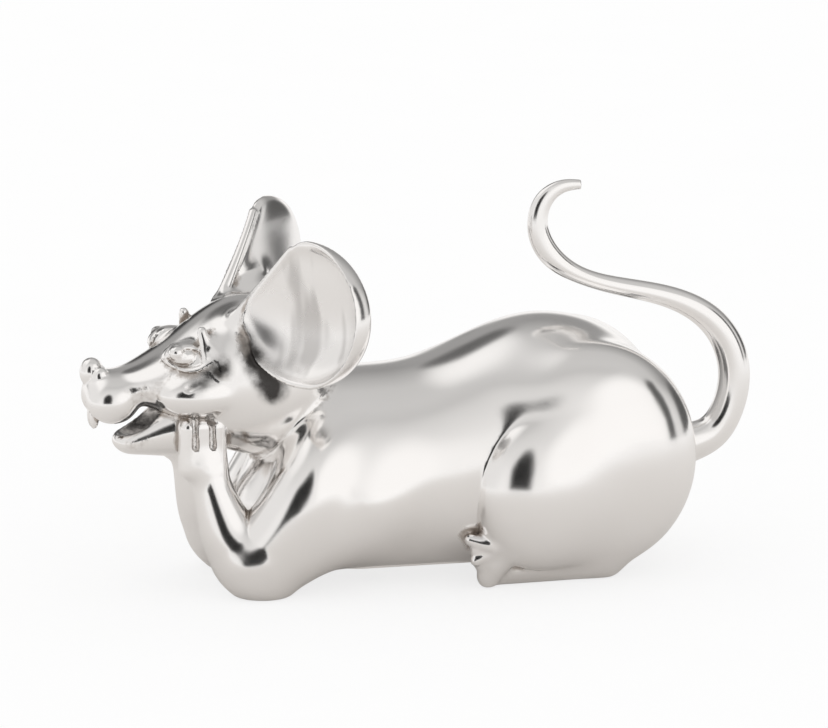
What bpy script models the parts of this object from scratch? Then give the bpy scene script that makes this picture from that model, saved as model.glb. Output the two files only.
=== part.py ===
"""A polished metal figurine of a rat lying on its belly with its chin in its hands.

The figure is an assembly of castings: a hollow trunk, a hollow head, a lower jaw, two dished ears, two arms
and a tail. A bolt in the neck and a stud in the tail root are reached through an opening in the belly, which
a screwed plate closes. The rat looks along -X, its left side is at -Y, and Z = 0 is the table.
"""

import math

import bmesh
import bpy
from mathutils import Matrix, Vector

MM = 0.001

# Fits and walls that the whole figure shares
GAP = 0.3 * MM
WALL = 2.6 * MM

# Trunk sections from chest to rump: place along X, underside, back and half width. Both ends are points.
TRUNK_SECTIONS = [
    (-41.0 * MM, 16.0 * MM, 16.0 * MM, 0.0),
    (-38.5 * MM, 8.0 * MM, 25.0 * MM, 8.5 * MM),
    (-33.0 * MM, 4.5 * MM, 35.5 * MM, 14.5 * MM),
    (-25.0 * MM, 2.6 * MM, 44.0 * MM, 18.5 * MM),
    (-14.0 * MM, 1.8 * MM, 46.8 * MM, 21.5 * MM),
    (-2.0 * MM, 1.6 * MM, 47.6 * MM, 22.5 * MM),
    (10.0 * MM, 1.6 * MM, 51.6 * MM, 23.0 * MM),
    (22.0 * MM, 1.6 * MM, 55.8 * MM, 23.8 * MM),
    (34.0 * MM, 1.8 * MM, 55.8 * MM, 23.6 * MM),
    (45.0 * MM, 4.0 * MM, 51.2 * MM, 21.2 * MM),
    (53.0 * MM, 9.0 * MM, 43.6 * MM, 16.4 * MM),
    (58.0 * MM, 15.5 * MM, 34.8 * MM, 10.0 * MM),
    (60.3 * MM, 24.5 * MM, 24.5 * MM, 0.0),
]
TRUNK_FULLNESS = 2.2
BELLY_LIFT = 3.0 * MM
BELLY_FLOOR = 3.4 * MM

# Hind legs, given for the left side
HAUNCH_X = 37.0 * MM
HAUNCH_Y = -14.5 * MM
HAUNCH_Z = 27.0 * MM
HAUNCH_HALF_LENGTH = 22.0 * MM
HAUNCH_HALF_WIDTH = 13.2 * MM
HAUNCH_HALF_HEIGHT = 25.0 * MM
THIGH_X = 29.0 * MM
THIGH_Y = -17.0 * MM
THIGH_Z = 24.4 * MM
THIGH_HALF_LENGTH = 18.0 * MM
THIGH_HALF_WIDTH = 13.0 * MM
THIGH_HALF_HEIGHT = 20.6 * MM
KNEE_X = 22.0 * MM
KNEE_Y = -18.3 * MM
KNEE_Z = 21.0 * MM
KNEE_HALF_LENGTH = 14.7 * MM
KNEE_HALF_WIDTH = 11.7 * MM
KNEE_HALF_HEIGHT = 17.2 * MM
WEB_X = 9.5 * MM
WEB_Y = -18.4 * MM
WEB_Z = 6.6 * MM
WEB_HALF_LENGTH = 6.4 * MM
WEB_HALF_WIDTH = 4.0 * MM
WEB_HALF_HEIGHT = 5.0 * MM
HEEL_X = 39.2 * MM
HEEL_Y = -13.8 * MM
HEEL_Z = 4.4 * MM
TOE_X = 13.0 * MM
TOE_Y = -15.4 * MM
TOE_Z = 2.6 * MM
HEEL_RADIUS = 5.4 * MM
TOE_RADIUS = 3.2 * MM

# Belly plate and its four screws
PLATE_CENTRE_X = 4.0 * MM
PLATE_LENGTH = 50.0 * MM
PLATE_WIDTH = 15.6 * MM
PLATE_THICKNESS = 1.8 * MM
PLATE_LEDGE = 3.2 * MM
SCREW_INSET = 2.4 * MM
SCREW_SET_BACK = 1.3 * MM
SCREW_HEAD_RADIUS = 1.5 * MM
SCREW_HEAD_HEIGHT = 0.9 * MM
SCREW_RADIUS = 0.8 * MM
SCREW_LENGTH = 6.0 * MM
SCREW_SLOT = 0.5 * MM
SCREW_BOSS_RADIUS = 2.6 * MM

# Neck: the seat is a plane across the front of the trunk, facing up and forward
NECK_SEAT_X = -28.0 * MM
NECK_SEAT_Z = 37.5 * MM
NECK_RISE = math.radians(42.0)
NECK_WALL = 5.0 * MM
PLUG_OFFSET = 1.5 * MM
PLUG_RADIUS = 6.5 * MM
PLUG_THICKNESS = 3.0 * MM
SPIGOT_RADIUS = 4.2 * MM
SPIGOT_LENGTH = 2.2 * MM
NECK_BOLT_RADIUS = 1.5 * MM
NECK_BOLT_HEAD_RADIUS = 3.1 * MM
NECK_BOLT_HEAD_HEIGHT = 2.0 * MM
NECK_WASHER_RADIUS = 3.7 * MM
WASHER_THICKNESS = 0.8 * MM

# Head sections from snout to nape, measured from the neck seat: X, underside, top and half width
HEAD_SECTIONS = [
    (-46.5 * MM, 6.6 * MM, 6.6 * MM, 0.0),
    (-44.6 * MM, 1.8 * MM, 10.6 * MM, 4.8 * MM),
    (-40.0 * MM, -0.2 * MM, 12.2 * MM, 7.4 * MM),
    (-34.0 * MM, 0.4 * MM, 14.0 * MM, 9.3 * MM),
    (-28.0 * MM, -0.4 * MM, 17.2 * MM, 11.6 * MM),
    (-22.0 * MM, -2.4 * MM, 21.8 * MM, 13.8 * MM),
    (-16.0 * MM, -4.6 * MM, 25.4 * MM, 15.2 * MM),
    (-10.0 * MM, -6.0 * MM, 27.0 * MM, 15.6 * MM),
    (-4.0 * MM, -6.0 * MM, 26.4 * MM, 15.0 * MM),
    (2.0 * MM, -3.4 * MM, 22.6 * MM, 12.8 * MM),
    (6.6 * MM, 2.6 * MM, 16.4 * MM, 8.2 * MM),
    (8.5 * MM, 9.5 * MM, 9.5 * MM, 0.0),
]
HEAD_FULLNESS = 2.1
HEAD_CORE_X = -10.0 * MM
HEAD_CORE_Z = 11.5 * MM
HEAD_CORE_HALF_LENGTH = 12.0 * MM
HEAD_CORE_HALF_WIDTH = 12.0 * MM
HEAD_CORE_HALF_HEIGHT = 11.5 * MM
NOSE_X = -44.4 * MM
NOSE_Z = 11.4 * MM
NOSE_HALF_LENGTH = 2.8 * MM
NOSE_HALF_WIDTH = 3.2 * MM
NOSE_HALF_HEIGHT = 3.1 * MM
TOOTH_X = -43.6 * MM
TOOTH_Y = -1.15 * MM
TOOTH_Z = 0.8 * MM
TOOTH_HALF_LENGTH = 1.1 * MM
TOOTH_HALF_WIDTH = 1.0 * MM
TOOTH_HALF_HEIGHT = 3.0 * MM
EYE_X = -27.0 * MM
EYE_Y = -8.0 * MM
EYE_Z = 14.8 * MM
EYE_HALF_LENGTH = 4.4 * MM
EYE_HALF_WIDTH = 2.8 * MM
EYE_HALF_HEIGHT = 3.0 * MM
BROW_TOP_X = -21.8 * MM
BROW_TOP_Y = -8.6 * MM
BROW_TOP_Z = 21.6 * MM
BROW_FOOT_X = -21.4 * MM
BROW_FOOT_Y = -12.0 * MM
BROW_FOOT_Z = 13.2 * MM
BROW_RADIUS = 1.3 * MM

# Lower jaw sections, measured from the neck seat like the head's
JAW_SECTIONS = [
    (-39.0 * MM, -5.0 * MM, -5.0 * MM, 0.0),
    (-37.6 * MM, -7.2 * MM, -2.6 * MM, 4.2 * MM),
    (-33.0 * MM, -8.0 * MM, -0.6 * MM, 6.2 * MM),
    (-28.0 * MM, -8.2 * MM, 1.6 * MM, 7.6 * MM),
    (-23.0 * MM, -8.0 * MM, 2.6 * MM, 8.2 * MM),
    (-18.5 * MM, -2.6 * MM, -2.6 * MM, 0.0),
]
JAW_SCOOP_X = -33.0 * MM
JAW_SCOOP_Z = 0.6 * MM
JAW_SCOOP_HALF_LENGTH = 6.4 * MM
JAW_SCOOP_HALF_WIDTH = 4.6 * MM
JAW_SCOOP_HALF_HEIGHT = 4.4 * MM
JAW_PEG_X = -26.0 * MM
JAW_PEG_RADIUS = 2.0 * MM
JAW_PEG_DEPTH = 5.0 * MM

# Ears, given for the left side: a cup facing forward and outward, cut off straight along its upper front,
# shallow at the top and deeper at the foot, with a rim that rises towards the rear, a root and a peg
EAR_X = -2.4 * MM
EAR_Y = -23.6 * MM
EAR_Z = 27.0 * MM
EAR_OUTWARD = math.radians(45.0)
EAR_UPWARD = math.radians(5.0)
EAR_REAR = 16.5 * MM
EAR_FRONT = 15.9 * MM
EAR_TALL = 16.1 * MM
EAR_CHORD = 12.6 * MM
EAR_CHORD_TURN = math.radians(42.4)
EAR_TOP_DEPTH = 3.9 * MM
EAR_FOOT_DEPTH = 7.4 * MM
EAR_SHALLOW_FROM = 7.0 * MM
EAR_DEEP_FROM = -9.0 * MM
EAR_RIM = 0.5 * MM
EAR_RIM_RISE = 0.25
EAR_CURL = 12.0 * MM
EAR_THICKNESS = 1.7 * MM
EAR_ROOT_X = -4.4 * MM
EAR_ROOT_Y = -13.6 * MM
EAR_ROOT_Z = 20.4 * MM
EAR_ROOT_HALF_LENGTH = 7.6 * MM
EAR_ROOT_HALF_WIDTH = 7.0 * MM
EAR_ROOT_HALF_HEIGHT = 8.0 * MM
EAR_PEG_RADIUS = 2.2 * MM
EAR_PEG_DEPTH = 4.5 * MM

# Arms, given for the left side. Each curve is drawn by four stations of X, Y, Z and radius.
UPPER_ARM = [
    (-14.2 * MM, -14.2 * MM, 31.0 * MM, 10.0 * MM),
    (-24.0 * MM, -15.5 * MM, 29.0 * MM, 9.4 * MM),
    (-36.0 * MM, -15.8 * MM, 19.0 * MM, 8.8 * MM),
    (-38.6 * MM, -15.0 * MM, 8.6 * MM, 8.0 * MM),
]
FOREARM = [
    (-42.8 * MM, -15.0 * MM, 9.8 * MM, 7.5 * MM),
    (-46.4 * MM, -14.8 * MM, 14.2 * MM, 6.2 * MM),
    (-47.0 * MM, -13.4 * MM, 20.5 * MM, 4.5 * MM),
    (-50.2 * MM, -11.6 * MM, 29.0 * MM, 3.7 * MM),
]
SLEEVE_TOP_X = -17.0 * MM
SLEEVE_TOP_Y = -15.0 * MM
SLEEVE_TOP_Z = 20.0 * MM
SLEEVE_TOP_RADIUS = 9.6 * MM
SLEEVE_FOOT_X = -36.0 * MM
SLEEVE_FOOT_Y = -15.5 * MM
SLEEVE_FOOT_Z = 9.0 * MM
SLEEVE_FOOT_RADIUS = 8.3 * MM
ELBOW_X = -38.4 * MM
ELBOW_Y = -15.6 * MM
ELBOW_Z = 7.6 * MM
ELBOW_HALF_LENGTH = 3.0 * MM
ELBOW_RADIUS = 8.2 * MM
HAND_X = -50.8 * MM
HAND_Y = -12.2 * MM
HAND_Z = 33.6 * MM
HAND_HALF_LENGTH = 5.2 * MM
HAND_HALF_WIDTH = 2.6 * MM
HAND_HALF_HEIGHT = 7.0 * MM
HAND_FULLNESS = 3.2
FINGER_PITCH = 3.9 * MM
FINGER_LENGTH = 6.3 * MM
FINGER_SLOT_RADIUS = 0.85 * MM
DOWEL_X = -22.0 * MM
DOWEL_HEIGHT = 27.0 * MM
DOWEL_RADIUS = 1.5 * MM
DOWEL_LENGTH = 5.0 * MM
DOWEL_BOSS_RADIUS = 3.4 * MM

# Tail: a bow behind the rump, a straight run forward over the back and a hook that closes in
TAIL_ROOT_HEIGHT = 24.8 * MM
TAIL_BOW_RADIUS = 17.8 * MM
TAIL_BOW_START = math.radians(-68.53)
TAIL_BOW_END = math.radians(72.0)
TAIL_RUN = 27.6 * MM
TAIL_HOOK_RADIUS = 10.8 * MM
TAIL_HOOK_END_RADIUS = 7.6 * MM
TAIL_HOOK_TURN = math.radians(176.0)
TAIL_ROOT_RADIUS = 4.3 * MM
TAIL_RUN_RADIUS = 2.1 * MM
TAIL_TIP_RADIUS = 1.2 * MM
STUD_RADIUS = 1.5 * MM
STUD_IN_TAIL = 5.0 * MM
STUD_SPARE = 1.2 * MM
TAIL_BOSS_RADIUS = 5.4 * MM
TAIL_BOSS_DEPTH = 7.0 * MM
TAIL_WASHER_RADIUS = 3.6 * MM
NUT_RADIUS = 3.2 * MM
NUT_HEIGHT = 2.4 * MM

# Mesh density
TRUNK_SIDES = 28
HEAD_SIDES = 24
LIMB_SIDES = 14
RINGS_PER_SPAN = 2
CORE_SIDES = 16
TURNED_SIDES = 16

REACH = 400.0 * MM

SILVER = (0.86, 0.85, 0.83)
STEEL = (0.56, 0.57, 0.58)


def clear_scene():
    for old in list(bpy.data.objects):
        bpy.data.objects.remove(old, do_unlink=True)


def metal(name, colour, roughness):
    material = bpy.data.materials.new(name)
    material.use_nodes = True
    shader = material.node_tree.nodes["Principled BSDF"]
    shader.inputs["Base Color"].default_value = (*colour, 1.0)
    shader.inputs["Metallic"].default_value = 1.0
    shader.inputs["Roughness"].default_value = roughness
    return material


def place(name, bm, material=None):
    """Makes an object of the mesh. Without a material it is a cutter or a joined shape, and stays hidden."""
    bmesh.ops.recalc_face_normals(bm, faces=bm.faces)
    mesh = bpy.data.meshes.new(name)
    bm.to_mesh(mesh)
    bm.free()
    mesh.shade_smooth()
    mesh.set_sharp_from_angle(angle=math.radians(35.0))
    obj = bpy.data.objects.new(name, mesh)
    bpy.context.scene.collection.objects.link(obj)
    if material is None:
        obj.hide_render = True
        obj.display_type = "WIRE"
    else:
        mesh.materials.append(material)
    return obj


def combine(target, operation, other):
    modifier = target.modifiers.new(f"{operation.lower()} {other.name}", "BOOLEAN")
    modifier.operation = operation
    modifier.object = other
    return target


def join(target, *others):
    for other in others:
        combine(target, "UNION", other)
    return target


def cut(target, *cutters):
    for cutter in cutters:
        combine(target, "DIFFERENCE", cutter)
    return target


def mirrored(point):
    return Vector((point[0], -point[1], point[2]))


def on_side(point, side):
    """A point given for the left side, on the left (side -1) or the right (side 1)."""
    return mirrored(point) if side > 0 else Vector(point)


# Meshes: skins over rings, ellipsoids, limbs and turned pieces


def skin(rings, start=None, end=None):
    """A closed mesh over rings of points. A fan to a start or end point closes an end, or a face does."""
    bm = bmesh.new()
    loops = [[bm.verts.new(p) for p in ring] for ring in rings]
    count = len(loops[0])
    for first, second in zip(loops, loops[1:]):
        for i in range(count):
            j = (i + 1) % count
            bm.faces.new((first[i], first[j], second[j], second[i]))
    for loop, pole in ((loops[0], start), (loops[-1], end)):
        if pole is None:
            bm.faces.new(loop)
            continue
        tip = bm.verts.new(pole)
        for i in range(count):
            bm.faces.new((loop[i], loop[(i + 1) % count], tip))
    return bm


def through(points, per_span):
    """Points on a smooth curve through the middle points; the first and the last only give the end slopes."""
    found = []
    for before, a, b, after in zip(points, points[1:], points[2:], points[3:]):
        for step in range(per_span):
            t = step / per_span
            found.append(
                tuple(
                    q + 0.5 * t * (r - p + t * (2 * p - 5 * q + 4 * r - s + t * (3 * (q - r) + s - p)))
                    for p, q, r, s in zip(before, a, b, after)
                )
            )
    found.append(points[-2])
    return found


def superellipse(angle, fullness):
    c, s = math.cos(angle), math.sin(angle)
    power = 2.0 / fullness
    return math.copysign(abs(c) ** power, c), math.copysign(abs(s) ** power, s)


def lofted(sections, fullness, sides, grow=0.0, offset=Vector()):
    """A rounded body through sections of (x, underside, top, half width), each side pushed out by grow."""
    ghosts = [(x, high, low, -half) for x, low, high, half in (sections[1], sections[-2])]
    smooth = through([ghosts[0], *sections, ghosts[1]], RINGS_PER_SPAN)
    front, back = sections[0][0], sections[-1][0]
    middle, half_length = (front + back) / 2, (back - front) / 2
    stretch = (half_length + grow) / half_length

    def moved(x, y, z):
        return Vector((middle + (x - middle) * stretch, y, z)) + offset

    rings = []
    for x, low, high, half in smooth[1:-1]:
        height, centre = (high - low) / 2 + grow, (high + low) / 2
        corners = [superellipse(2 * math.pi * i / sides, fullness) for i in range(sides)]
        rings.append([moved(x, (half + grow) * c, centre + height * s) for c, s in corners])
    ends = [moved(x, 0.0, (low + high) / 2) for x, low, high, _ in (sections[0], sections[-1])]
    return skin(rings, *ends)


def ellipsoid(centre, radii, sides, grow=0.0):
    bm = bmesh.new()
    bmesh.ops.create_uvsphere(bm, u_segments=sides, v_segments=max(6, sides // 2), radius=1.0)
    bmesh.ops.transform(bm, matrix=Matrix.Diagonal((*(r + grow for r in radii), 1.0)), verts=bm.verts)
    bmesh.ops.translate(bm, vec=centre, verts=bm.verts)
    return bm


def frame_along(direction):
    """Two unit vectors square to a direction and to each other."""
    towards = direction.normalized()
    helper = Vector((0, 1, 0)) if abs(towards.y) < 0.9 else Vector((1, 0, 0))
    across = helper.cross(towards).normalized()
    return across, towards.cross(across)


def ring_at(centre, across, along, radius, sides):
    turns = [2 * math.pi * i / sides for i in range(sides)]
    return [centre + radius * (math.cos(a) * across + math.sin(a) * along) for a in turns]


def along_curve(run, sides=LIMB_SIDES, steps=3):
    """A limb along places with a radius each, with round ends."""
    quarter = [math.pi / 2 * i / steps for i in range(1, steps)]
    (start, first), (end, last) = run[0], run[-1]
    out = (start - run[1][0]).normalized()
    on = (end - run[-2][0]).normalized()
    slopes = [-out] * (steps - 1)
    slopes += [(after[0] - before[0]) for before, after in zip(run[:1] + run, run[1:] + run[-1:])]
    slopes += [on] * (steps - 1)
    whole = [(start + out * first * math.cos(a), first * math.sin(a)) for a in quarter]
    whole += run
    whole += [(end + on * last * math.cos(a), last * math.sin(a)) for a in reversed(quarter)]
    rings = [ring_at(at, *frame_along(slope), radius, sides) for (at, radius), slope in zip(whole, slopes)]
    return skin(rings, start + out * first, end + on * last)


def limb(start, end, start_radius, end_radius, sides=LIMB_SIDES, steps=3):
    """A straight tapered limb with round ends."""
    return along_curve([(start, start_radius), (end, end_radius)], sides, steps)


def bent_limb(stations, side, spans=6):
    """A limb along the smooth curve that four stations draw, on one side of the figure."""
    run = []
    for i in range(spans + 1):
        t = i / spans
        shares = ((1 - t) ** 3, 3 * t * (1 - t) ** 2, 3 * t * t * (1 - t), t**3)
        x, y, z, radius = (sum(a * b for a, b in zip(shares, column)) for column in zip(*stations))
        run.append((on_side(Vector((x, y, z)), side), radius))
    return along_curve(run)


def turned(profile, base, axis, sides=TURNED_SIDES):
    """A turned piece: (distance along the axis, radius) steps from the base point, closed by flat ends."""
    across, along = frame_along(axis)
    towards = axis.normalized()
    return skin([ring_at(base + towards * d, across, along, r, sides) for d, r in profile])


def rod(base, axis, length, radius, sides=TURNED_SIDES):
    return turned([(0.0, radius), (length, radius)], base, axis, sides)


def half_space(point, normal):
    """A block that fills everything on the side of a plane that its normal points to."""
    across, along = frame_along(normal)
    towards = normal.normalized()
    corners = [across + along, along - across, -across - along, across - along]
    near = [point + c * REACH for c in corners]
    return skin([near, [p + towards * REACH for p in near]])


def below(height):
    return half_space(Vector((0, 0, height)), Vector((0, 0, -1)))


def stadium(length, width, low, high, centre_x, sides=13):
    """A plate outline with round ends, from one height to another."""
    radius, straight = width / 2, length / 2 - width / 2
    outline = []
    for i in range(sides + 1):
        angle = -math.pi / 2 + math.pi * i / sides
        outline.append((straight + radius * math.cos(angle), radius * math.sin(angle)))
    outline += [(-x, -y) for x, y in outline]
    return skin([[Vector((centre_x + x, y, z)) for x, y in outline] for z in (low, high)])


# Places that several pieces share

HAUNCH_CENTRE = Vector((HAUNCH_X, HAUNCH_Y, HAUNCH_Z))
HAUNCH_RADII = Vector((HAUNCH_HALF_LENGTH, HAUNCH_HALF_WIDTH, HAUNCH_HALF_HEIGHT))
THIGH_CENTRE = Vector((THIGH_X, THIGH_Y, THIGH_Z))
THIGH_RADII = Vector((THIGH_HALF_LENGTH, THIGH_HALF_WIDTH, THIGH_HALF_HEIGHT))
KNEE_CENTRE = Vector((KNEE_X, KNEE_Y, KNEE_Z))
KNEE_RADII = Vector((KNEE_HALF_LENGTH, KNEE_HALF_WIDTH, KNEE_HALF_HEIGHT))
WEB_CENTRE = Vector((WEB_X, WEB_Y, WEB_Z))
WEB_RADII = Vector((WEB_HALF_LENGTH, WEB_HALF_WIDTH, WEB_HALF_HEIGHT))
HEEL = Vector((HEEL_X, HEEL_Y, HEEL_Z))
TOE = Vector((TOE_X, TOE_Y, TOE_Z))
NECK_SEAT = Vector((NECK_SEAT_X, 0.0, NECK_SEAT_Z))
HEAD_CORE_CENTRE = Vector((HEAD_CORE_X, 0.0, HEAD_CORE_Z))
HEAD_CORE_RADII = Vector((HEAD_CORE_HALF_LENGTH, HEAD_CORE_HALF_WIDTH, HEAD_CORE_HALF_HEIGHT))
NOSE_CENTRE = Vector((NOSE_X, 0.0, NOSE_Z))
NOSE_RADII = Vector((NOSE_HALF_LENGTH, NOSE_HALF_WIDTH, NOSE_HALF_HEIGHT))
TOOTH_CENTRE = Vector((TOOTH_X, TOOTH_Y, TOOTH_Z))
TOOTH_RADII = Vector((TOOTH_HALF_LENGTH, TOOTH_HALF_WIDTH, TOOTH_HALF_HEIGHT))
EYE_CENTRE = Vector((EYE_X, EYE_Y, EYE_Z))
EYE_RADII = Vector((EYE_HALF_LENGTH, EYE_HALF_WIDTH, EYE_HALF_HEIGHT))
BROW_TOP = Vector((BROW_TOP_X, BROW_TOP_Y, BROW_TOP_Z))
BROW_FOOT = Vector((BROW_FOOT_X, BROW_FOOT_Y, BROW_FOOT_Z))
JAW_SCOOP_CENTRE = Vector((JAW_SCOOP_X, 0.0, JAW_SCOOP_Z))
JAW_SCOOP_RADII = Vector((JAW_SCOOP_HALF_LENGTH, JAW_SCOOP_HALF_WIDTH, JAW_SCOOP_HALF_HEIGHT))
EAR_CENTRE = Vector((EAR_X, EAR_Y, EAR_Z))
EAR_ROOT_CENTRE = Vector((EAR_ROOT_X, EAR_ROOT_Y, EAR_ROOT_Z))
EAR_ROOT_RADII = Vector((EAR_ROOT_HALF_LENGTH, EAR_ROOT_HALF_WIDTH, EAR_ROOT_HALF_HEIGHT))
SLEEVE_TOP = Vector((SLEEVE_TOP_X, SLEEVE_TOP_Y, SLEEVE_TOP_Z))
SLEEVE_FOOT = Vector((SLEEVE_FOOT_X, SLEEVE_FOOT_Y, SLEEVE_FOOT_Z))
ELBOW = Vector((ELBOW_X, ELBOW_Y, ELBOW_Z))
ELBOW_REACH = Vector((ELBOW_HALF_LENGTH, 0.0, 0.0))
HAND_CENTRE = Vector((HAND_X, HAND_Y, HAND_Z))
NECK_AXIS = Vector((-math.cos(NECK_RISE), 0.0, math.sin(NECK_RISE)))
NECK_UP = Vector((math.sin(NECK_RISE), 0.0, math.cos(NECK_RISE)))
NECK_CENTRE = NECK_SEAT + NECK_UP * PLUG_OFFSET
DOWN = Vector((0, 0, -1))
RUMP_X = TRUNK_SECTIONS[-1][0]
TAIL_ROOT = Vector((RUMP_X, 0.0, TAIL_ROOT_HEIGHT))
PLATE_TOP = BELLY_LIFT + PLATE_THICKNESS
SIDES = (("left", -1), ("right", 1))


def from_neck(point):
    """A point of the head's frame, in the figure's frame."""
    return NECK_SEAT + point


def trunk_cutters(grow, with_legs=True):
    """Shapes that follow the outside of the trunk at a distance, to cut its neighbours with."""
    shapes = [place("trunk_cutter", lofted(TRUNK_SECTIONS, TRUNK_FULLNESS, TRUNK_SIDES, grow))]
    if with_legs:
        for _, side in SIDES:
            centre = on_side(HAUNCH_CENTRE, side)
            shapes.append(place("haunch_cutter", ellipsoid(centre, HAUNCH_RADII, CORE_SIDES, grow)))
    return shapes


def head_cutter(grow):
    bm = lofted(HEAD_SECTIONS, HEAD_FULLNESS, HEAD_SIDES, grow, NECK_SEAT)
    return place("head_cutter", bm)


def screw_places():
    """The four screw axes, on the plate's ledge near the ends of its straight sides."""
    x = PLATE_LENGTH / 2 - PLATE_WIDTH / 2 - SCREW_SET_BACK
    y = PLATE_WIDTH / 2 - SCREW_INSET
    return [Vector((PLATE_CENTRE_X + sx * x, sy * y, 0.0)) for sx in (-1, 1) for sy in (-1, 1)]


def dowel_place(side):
    """The inner end of a shoulder dowel, one wall inside the trunk's flank."""
    flank = trunk_flank(DOWEL_X, DOWEL_HEIGHT)
    return Vector((DOWEL_X, side * (flank - WALL - GAP), DOWEL_HEIGHT))


def trunk_flank(x, z):
    """How far the trunk's side stands out from the middle at a place along it and a height."""
    for before, after in zip(TRUNK_SECTIONS, TRUNK_SECTIONS[1:]):
        if before[0] <= x <= after[0]:
            share = (x - before[0]) / (after[0] - before[0])
            low, high, half = (a + (b - a) * share for a, b in zip(before[1:], after[1:]))
            up = abs(2 * z - high - low) / (high - low)
            return half * (1 - up**TRUNK_FULLNESS) ** (1 / TRUNK_FULLNESS)
    return 0.0


# Trunk casting


def trunk_cavity():
    """The hollow inside the trunk, short of the neck wall and of the belly's floor."""
    cavity = place("trunk_cavity", lofted(TRUNK_SECTIONS, TRUNK_FULLNESS, CORE_SIDES, -WALL))
    floor = place("cavity_floor", below(BELLY_LIFT + BELLY_FLOOR))
    neck = place("cavity_neck", half_space(NECK_SEAT - NECK_AXIS * NECK_WALL, NECK_AXIS))
    return cut(cavity, floor, neck)


def trunk_shell(silver):
    shell = place("trunk_shell", lofted(TRUNK_SECTIONS, TRUNK_FULLNESS, TRUNK_SIDES), silver)
    cut(shell, place("belly_flat", below(BELLY_LIFT)))
    for _, side in SIDES:
        join(
            shell,
            place("haunch", ellipsoid(on_side(HAUNCH_CENTRE, side), HAUNCH_RADII, CORE_SIDES)),
            place("thigh", ellipsoid(on_side(THIGH_CENTRE, side), THIGH_RADII, CORE_SIDES)),
            place("knee", ellipsoid(on_side(KNEE_CENTRE, side), KNEE_RADII, CORE_SIDES)),
            place("web", ellipsoid(on_side(WEB_CENTRE, side), WEB_RADII, LIMB_SIDES)),
            place("foot", limb(on_side(HEEL, side), on_side(TOE, side), HEEL_RADIUS, TOE_RADIUS)),
        )
    cut(shell, place("table", below(0.0)))
    cut(shell, place("neck_plane", half_space(NECK_SEAT, NECK_AXIS)))
    cut(shell, trunk_cavity())
    ledge = BELLY_LIFT + BELLY_FLOOR - GAP
    for at in screw_places():
        top = at + Vector((0, 0, ledge))
        boss = rod(top, -DOWN, SCREW_LENGTH - BELLY_FLOOR + 2 * GAP, SCREW_BOSS_RADIUS)
        join(shell, place("screw_boss", boss))
    boss_depth = WALL + TAIL_BOSS_DEPTH
    inner = TAIL_ROOT - Vector((boss_depth, 0, 0))
    join(shell, place("tail_boss", rod(inner, Vector((1, 0, 0)), boss_depth - WALL / 2, TAIL_BOSS_RADIUS)))
    for _, side in SIDES:
        outward = Vector((0, side, 0))
        start = dowel_place(side) - outward * WALL
        join(shell, place("dowel_boss", rod(start, outward, 1.4 * WALL, DOWEL_BOSS_RADIUS)))
        cut(shell, place("dowel_hole", rod(dowel_place(side), outward, REACH / 4, DOWEL_RADIUS + GAP)))
    stud_hole = rod(inner - Vector((WALL, 0, 0)), Vector((1, 0, 0)), REACH / 4, STUD_RADIUS + GAP)
    cut(
        shell,
        place("plate_rebate", plate_outline(BELLY_LIFT - WALL, PLATE_TOP + GAP, GAP)),
        place("belly_opening", plate_outline(BELLY_LIFT, BELLY_LIFT + 2 * BELLY_FLOOR, -PLATE_LEDGE)),
        place("stud_hole", stud_hole),
        place("spigot_socket", rod(NECK_CENTRE + NECK_AXIS * WALL, -NECK_AXIS, WALL + SPIGOT_LENGTH + GAP,
                                   SPIGOT_RADIUS + GAP)),
        place("bolt_hole", rod(NECK_CENTRE, -NECK_AXIS, NECK_WALL + WALL, NECK_BOLT_RADIUS + GAP)),
    )
    for at in screw_places():
        top = at + Vector((0, 0, BELLY_LIFT))
        cut(shell, place("screw_hole", rod(top, -DOWN, SCREW_LENGTH + GAP, SCREW_RADIUS + GAP)))
    return shell


# Belly plate and screws


def plate_outline(low, high, grow):
    return stadium(PLATE_LENGTH + 2 * grow, PLATE_WIDTH + 2 * grow, low, high, PLATE_CENTRE_X)


def base_plate(silver):
    plate = place("base_plate", plate_outline(BELLY_LIFT, PLATE_TOP, 0.0), silver)
    for at in screw_places():
        low = at + Vector((0, 0, BELLY_LIFT - WALL))
        cut(plate, place("plate_hole", rod(low, -DOWN, REACH / 4, SCREW_RADIUS + GAP)))
        cut(plate, place("counterbore", rod(low, -DOWN, WALL + SCREW_HEAD_HEIGHT, SCREW_HEAD_RADIUS + GAP)))


def base_screws(steel):
    for number, at in enumerate(screw_places(), 1):
        low = at + Vector((0, 0, BELLY_LIFT))
        head = SCREW_HEAD_HEIGHT - GAP
        profile = [
            (0.0, SCREW_HEAD_RADIUS),
            (head, SCREW_HEAD_RADIUS),
            (head, SCREW_RADIUS),
            (SCREW_LENGTH - SCREW_RADIUS, SCREW_RADIUS),
            (SCREW_LENGTH, SCREW_RADIUS / 2),
        ]
        screw = place(f"base_screw_{number}", turned(profile, low, -DOWN, LIMB_SIDES), steel)
        slot_low, slot_high = BELLY_LIFT - WALL, BELLY_LIFT + SCREW_SLOT
        half = SCREW_SLOT / 2
        corners = [(-1, -1), (1, -1), (1, 1), (-1, 1)]
        rings = []
        for z in (slot_low, slot_high):
            rings.append([at + Vector((sx * PLATE_LEDGE, sy * half, z)) for sx, sy in corners])
        cut(screw, place("screw_slot", skin(rings)))


# Neck joint: a plug brazed into the head, whose spigot enters the trunk and takes the bolt


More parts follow.
